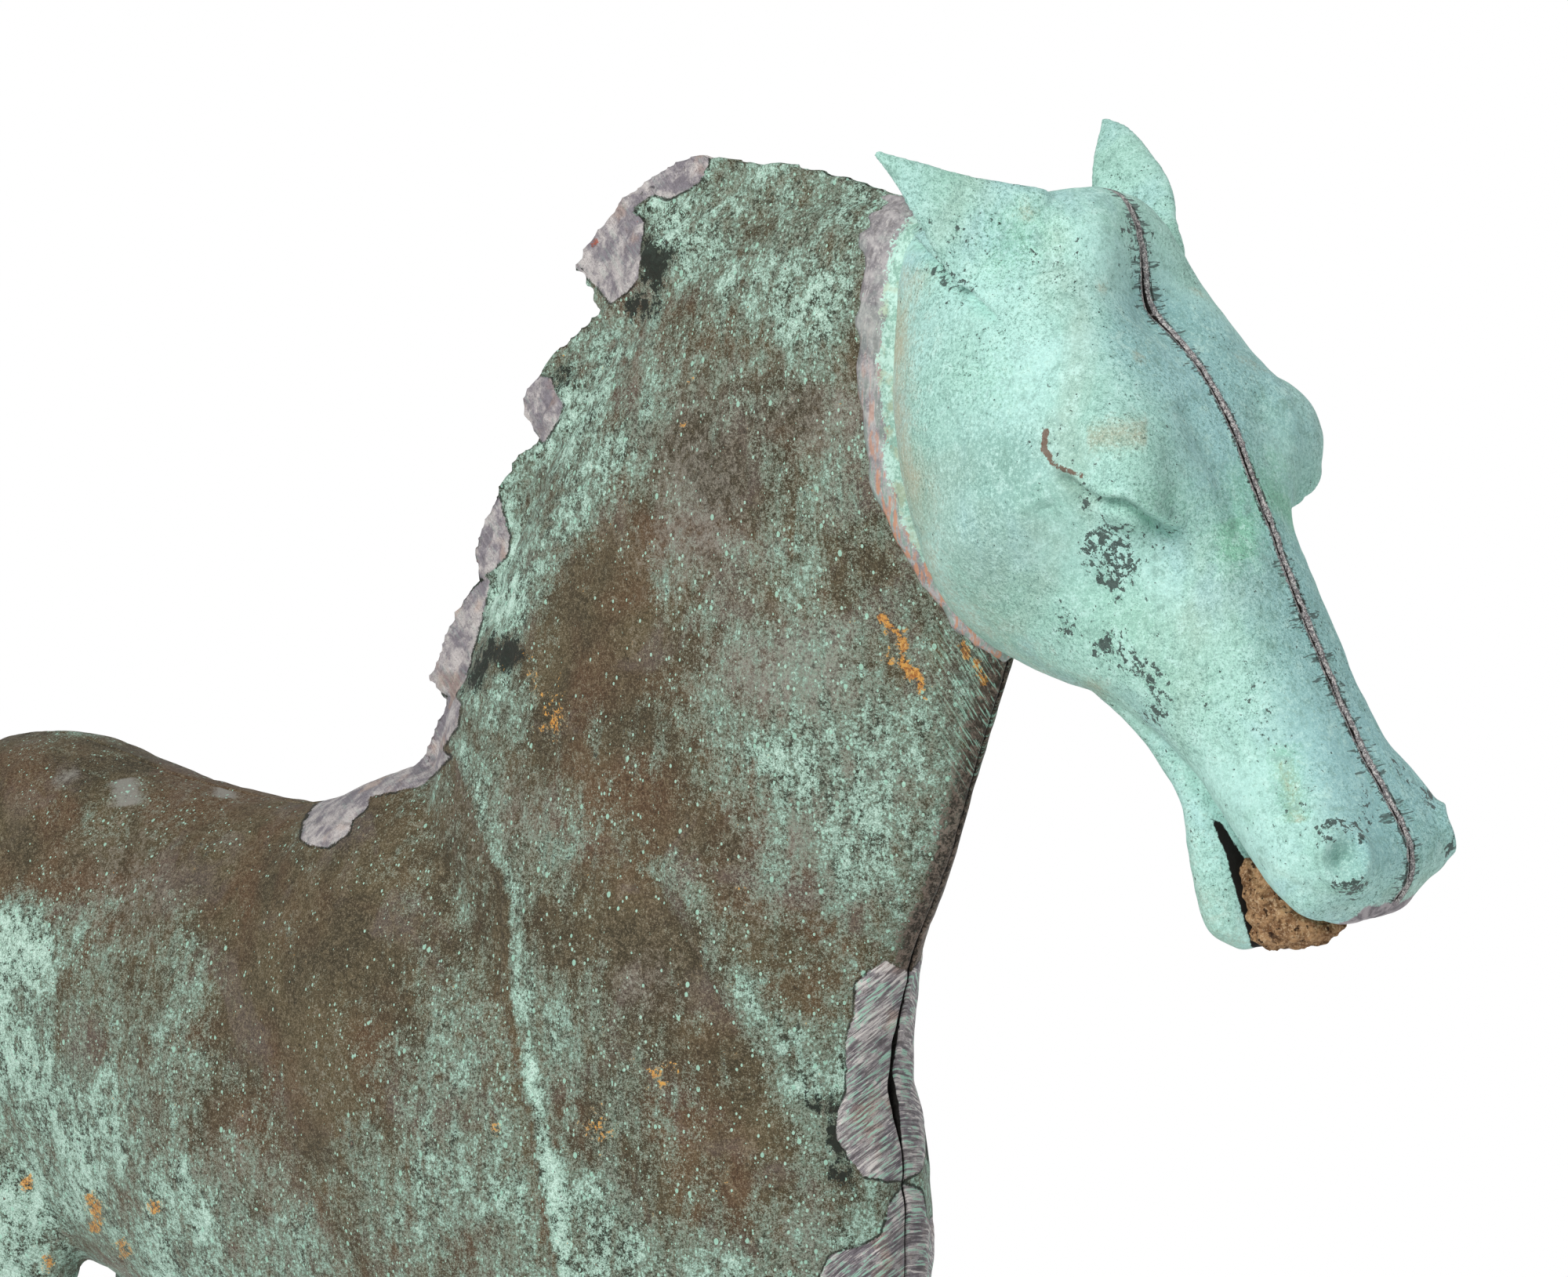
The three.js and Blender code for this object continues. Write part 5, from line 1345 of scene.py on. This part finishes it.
def build_head():
    v, quads = fuse(head_parts(), HEAD_VOXEL)
    v = relax(v, quads, 22, 1 - .5 * smoothstep(v[:, 2], 196, 212))
    under_brow = np.minimum(1, 1.5 * spot(v, on_head(.485, .075), 15)) * (np.abs(v[:, 1]) > 20)
    v = relax(v, quads, 24, under_brow, 0)
    # the hollow of the forehead, under the forelock
    v[:, [0, 2]] += np.outer(6.4 * spot(v, on_head(.165, -.01), 18) * bell(v[:, 1], 15), INWARD)
    skin = Skin(v, quads)
    skin.slices(0, both_sides(HALF_GAP, .55, 1.2, 2.2))
    p, n = skin.points(), skin.normals()
    rise = head_field(p, n) + seam_shape(p, n, 1.0, .3)
    two_halves("cast_head", "head", skin, rise, CASTING, "head_casting", head_paint)
    return skin


# how far down the neck each point of the bead lies, as shares of its width, and how high it stands
BEAD_REACH = (1.0, .93, .8, .7, .6, .5, .4, .3, .15, 0, -.3, -.55)
BEAD_RISE = (.08, .3, .6, .7, .75, .8, .84, .86, .86, .8, .6, .2)


def neck_bead(head, body):
    """A bead of solder along the line where the neck runs into the head."""
    rings = np.array([neck_ring(row, 200) for row in curve(NECK, 24)])
    count, last = rings.shape[1], len(rings) - 1

    def meets_head(k):
        for i in range(40, last):
            q = Vector(rings[i, k])
            near, normal, _, _ = head.find_nearest(q)
            if (q - near).dot(normal) < .6:
                return i
        return last

    meet = np.array([meets_head(k) for k in range(count)], float)
    for _ in range(6):
        meet = (np.roll(meet, 1) + meet * 2 + np.roll(meet, -1)) / 4
    loops, fringes = [], []
    for k, i in enumerate(meet):
        lo = int(min(i, last - 1))
        p = rings[lo, k] + (rings[lo + 1, k] - rings[lo, k]) * (i - lo)
        down = unit(rings[max(lo - 6, 0), k] - rings[lo, k])
        wide = np.interp(p[2], (74, 100, 116, 134, 152, 185, 200), (4, 7, 11, 13.5, 15, 15.5, 20))
        fringes.append(np.interp(p[2], (90, 116, 200), (0, 4, 4)) / wide)
        wide *= 1 + .14 * grain(np.array([[k * 2.0, 0, 0]]), 7, 71, 2)[0]
        profile = []
        for w, h in zip(BEAD_REACH, BEAD_RISE):
            at = p + down * (wide if w > 0 else 5) * w
            near, normal, _, _ = (np.array(x) for x in body.find_nearest(Vector(at)))
            lump = grain(np.array([at]), 4, 73, 2)[0]
            profile.append(near + normal * (h * 1.5 * (1 + .35 * lump)))
        under = [profile[-1] - normal * 2.5, profile[0] + (profile[-1] - profile[0]) * .1 - normal * 2.2]
        loops.append(profile + under)
    v = np.array(loops)
    skin = Skin(v.reshape(-1, 3), belt(count, v.shape[1], True))
    bmesh.ops.recalc_face_normals(skin.bm, faces=skin.bm.faces)
    reach = np.array(BEAD_REACH + (-.5, 1.0))
    cast = np.clip(.5 + (np.array(fringes)[:, None] - reach) * 2.2, 0, 1).ravel()
    piece("neck_solder_bead", skin.bm, LEAD, "lead_solder", "neck_joint_solder",
          paint=lambda p, n: {"rust": 1 - smoothstep(p[:, 2], 110, 175), "cast": cast})


def nest():
    o = np.array([on_head(a, i) for a, i in NEST])
    mid = o.mean(0)
    rings = []
    for out, size in curve([(-1, .3), (-.85, .7), (-.5, .95), (0, 1.02), (.5, .9), (.85, .62), (1, .3)], 3):
        q = mid + (o - mid) * size
        rings.append(np.stack([q[:, 0], np.full(len(q), out * .125 * HEAD_WIDTH), q[:, 1]], 1))
    v, quads = fuse([loft(rings)], NEST_VOXEL)
    skin = Skin(relax(v, quads, 6), quads)
    p = skin.points()
    skin.move(p + skin.normals() * (1.1 * grain(p, 6, 81, 2) + .8 * grain(p, 2.6, 83, 2) - .3)[:, None])
    piece("mud_nest", skin.bm, MUD, "dried_mud", "mouth_nest")


# ---------- the stand and the bearings ----------
TUBE_LOW = below(BELLY) - 13
TUBE_TOP = TUBE_LOW + 202
TIP = TUBE_TOP - 14 + 6 - .6 + WITHERS  # of the spindle, above the foot's underside


def turned(rows, count=96):
    """Rings of a turned piece, from (radius, height) rows."""
    t = turns(count)
    return np.array([np.stack([r * np.cos(t), r * np.sin(t), np.full(count, z)], 1) for r, z in rows])


def sleeve(rows, count=96):
    """(points, faces) of a turned piece with a bore."""
    return turned(rows, count).reshape(-1, 3), belt(len(rows), count, True)


def arc(x, z, radius, start, end, count):
    """Points of an arc between two angles, in quarter turns."""
    return [(x + radius * math.cos(a), z + radius * math.sin(a))
            for a in np.linspace(start, end, count) * math.pi / 2]


def sharpen(ob, angle=30):
    """Marks the edges that bend by more than an angle as sharp."""
    bm = bmesh.new()
    bm.from_mesh(ob.data)
    bmesh.ops.recalc_face_normals(bm, faces=bm.faces)
    for e in bm.edges:
        if len(e.link_faces) == 2 and e.calc_face_angle(0) > math.radians(angle):
            e.smooth = False
    bm.to_mesh(ob.data)
    bm.free()


def foot():
    rows = [(.01, 0), (60, 0), (114, 0), (115, .8), *arc(112.5, 6.5, 2.5, 0, 1, 7), (60, 9),
            *arc(32, 21, 12, -1, -2, 9), *arc(18, 38, 2, 0, 1, 5), (8.3, 40), (7.3, 39), (7.3, 4.1), (.01, 4)]
    ob = piece("foot", loft(turned(rows, 128)), IRON, "foot_iron", "roof_foot", body="stand", lift=0)
    bm = bmesh.new()  # its four holes, in metres
    for k in range(4):
        a = math.pi / 2 * (k + .5)
        made = bmesh.ops.create_cone(bm, cap_ends=True, segments=40, radius1=.0045, radius2=.0045, depth=.04)
        bmesh.ops.translate(bm, vec=(.095 * math.cos(a), .095 * math.sin(a), .005), verts=made["verts"])
    me = bpy.data.meshes.new("cutter")
    bm.to_mesh(me)
    bm.free()
    cutter = link("cutter", me)
    mod = ob.modifiers.new("holes", "BOOLEAN")
    mod.operation = "DIFFERENCE"
    mod.object = cutter
    done = bpy.data.meshes.new_from_object(ob.evaluated_get(bpy.context.evaluated_depsgraph_get()))
    ob.modifiers.clear()
    old, ob.data = ob.data, done
    bpy.data.meshes.remove(old)
    bpy.data.objects.remove(cutter)
    sharpen(ob)


def spindle():
    rod = [(.01, 4.3), (6, 4.3), (7, 5.3), (7, TIP - 12), (6.7, TIP - 11.3), (.6, TIP - .9), (.01, TIP - .4)]
    sharpen(piece("spindle", loft(turned(rod)), STEEL, "spindle_steel", "spindle_rod", body="stand", lift=0))


def set_screw(z=27.5):
    v, f = loft(turned([(.01, 7.7), (3.3, 7.7), (4, 8.6), (4, 24)], 40))
    bm = Skin(v[:, [2, 1, 0]] + [0, 0, z], f).bm
    made = bmesh.ops.create_cube(bm, size=1.0)
    bmesh.ops.scale(bm, vec=(7, 13, 13), verts=made["verts"])
    bmesh.ops.translate(bm, vec=(26.5, 0, z), verts=made["verts"])
    edges = list({e for q in made["verts"] for e in q.link_edges})
    bmesh.ops.bevel(bm, geom=edges, offset=1.1, segments=3, affect="EDGES")
    bmesh.ops.recalc_face_normals(bm, faces=bm.faces)
    sharpen(piece("set_screw", bm, STEEL, "spindle_steel", "hub_set_screw", body="stand", lift=0))


def bearings():
    tube = [(8, TUBE_LOW), (9.2, TUBE_LOW), (9.5, TUBE_LOW + .4), (9.5, TUBE_TOP - .4), (9.2, TUBE_TOP),
            (8, TUBE_TOP)]
    sharpen(piece("tube", sleeve(tube), BRASS, "brass_tube", "spindle_tube"))
    low = TUBE_LOW - 3.3
    bush = [(7.3, low + .4), (7.8, low), (12, low), (12.5, low + .5), (12.5, low + 2.5), (12, low + 3),
            (7.7, low + 3), (7.7, TUBE_LOW + 16), (7.3, TUBE_LOW + 16)]
    sharpen(piece("bush", sleeve(bush), BRONZE, "bearing_bronze", "guide_bush"))


body_skin = build_body()
hooves()
tail()
head_skin = build_head()
neck_bead(head_skin.tree(), body_skin.tree())
nest()
foot()
spindle()
set_screw()
bearings()

for name, mat in (("thrust_cap", BRONZE), ("belly_collar", COPPER), ("tube_strap_upper", COPPER),
                  ("tube_strap_lower", COPPER)):
    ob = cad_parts[name]
    ob.data.materials.clear()
    ob.data.materials.append(mat)
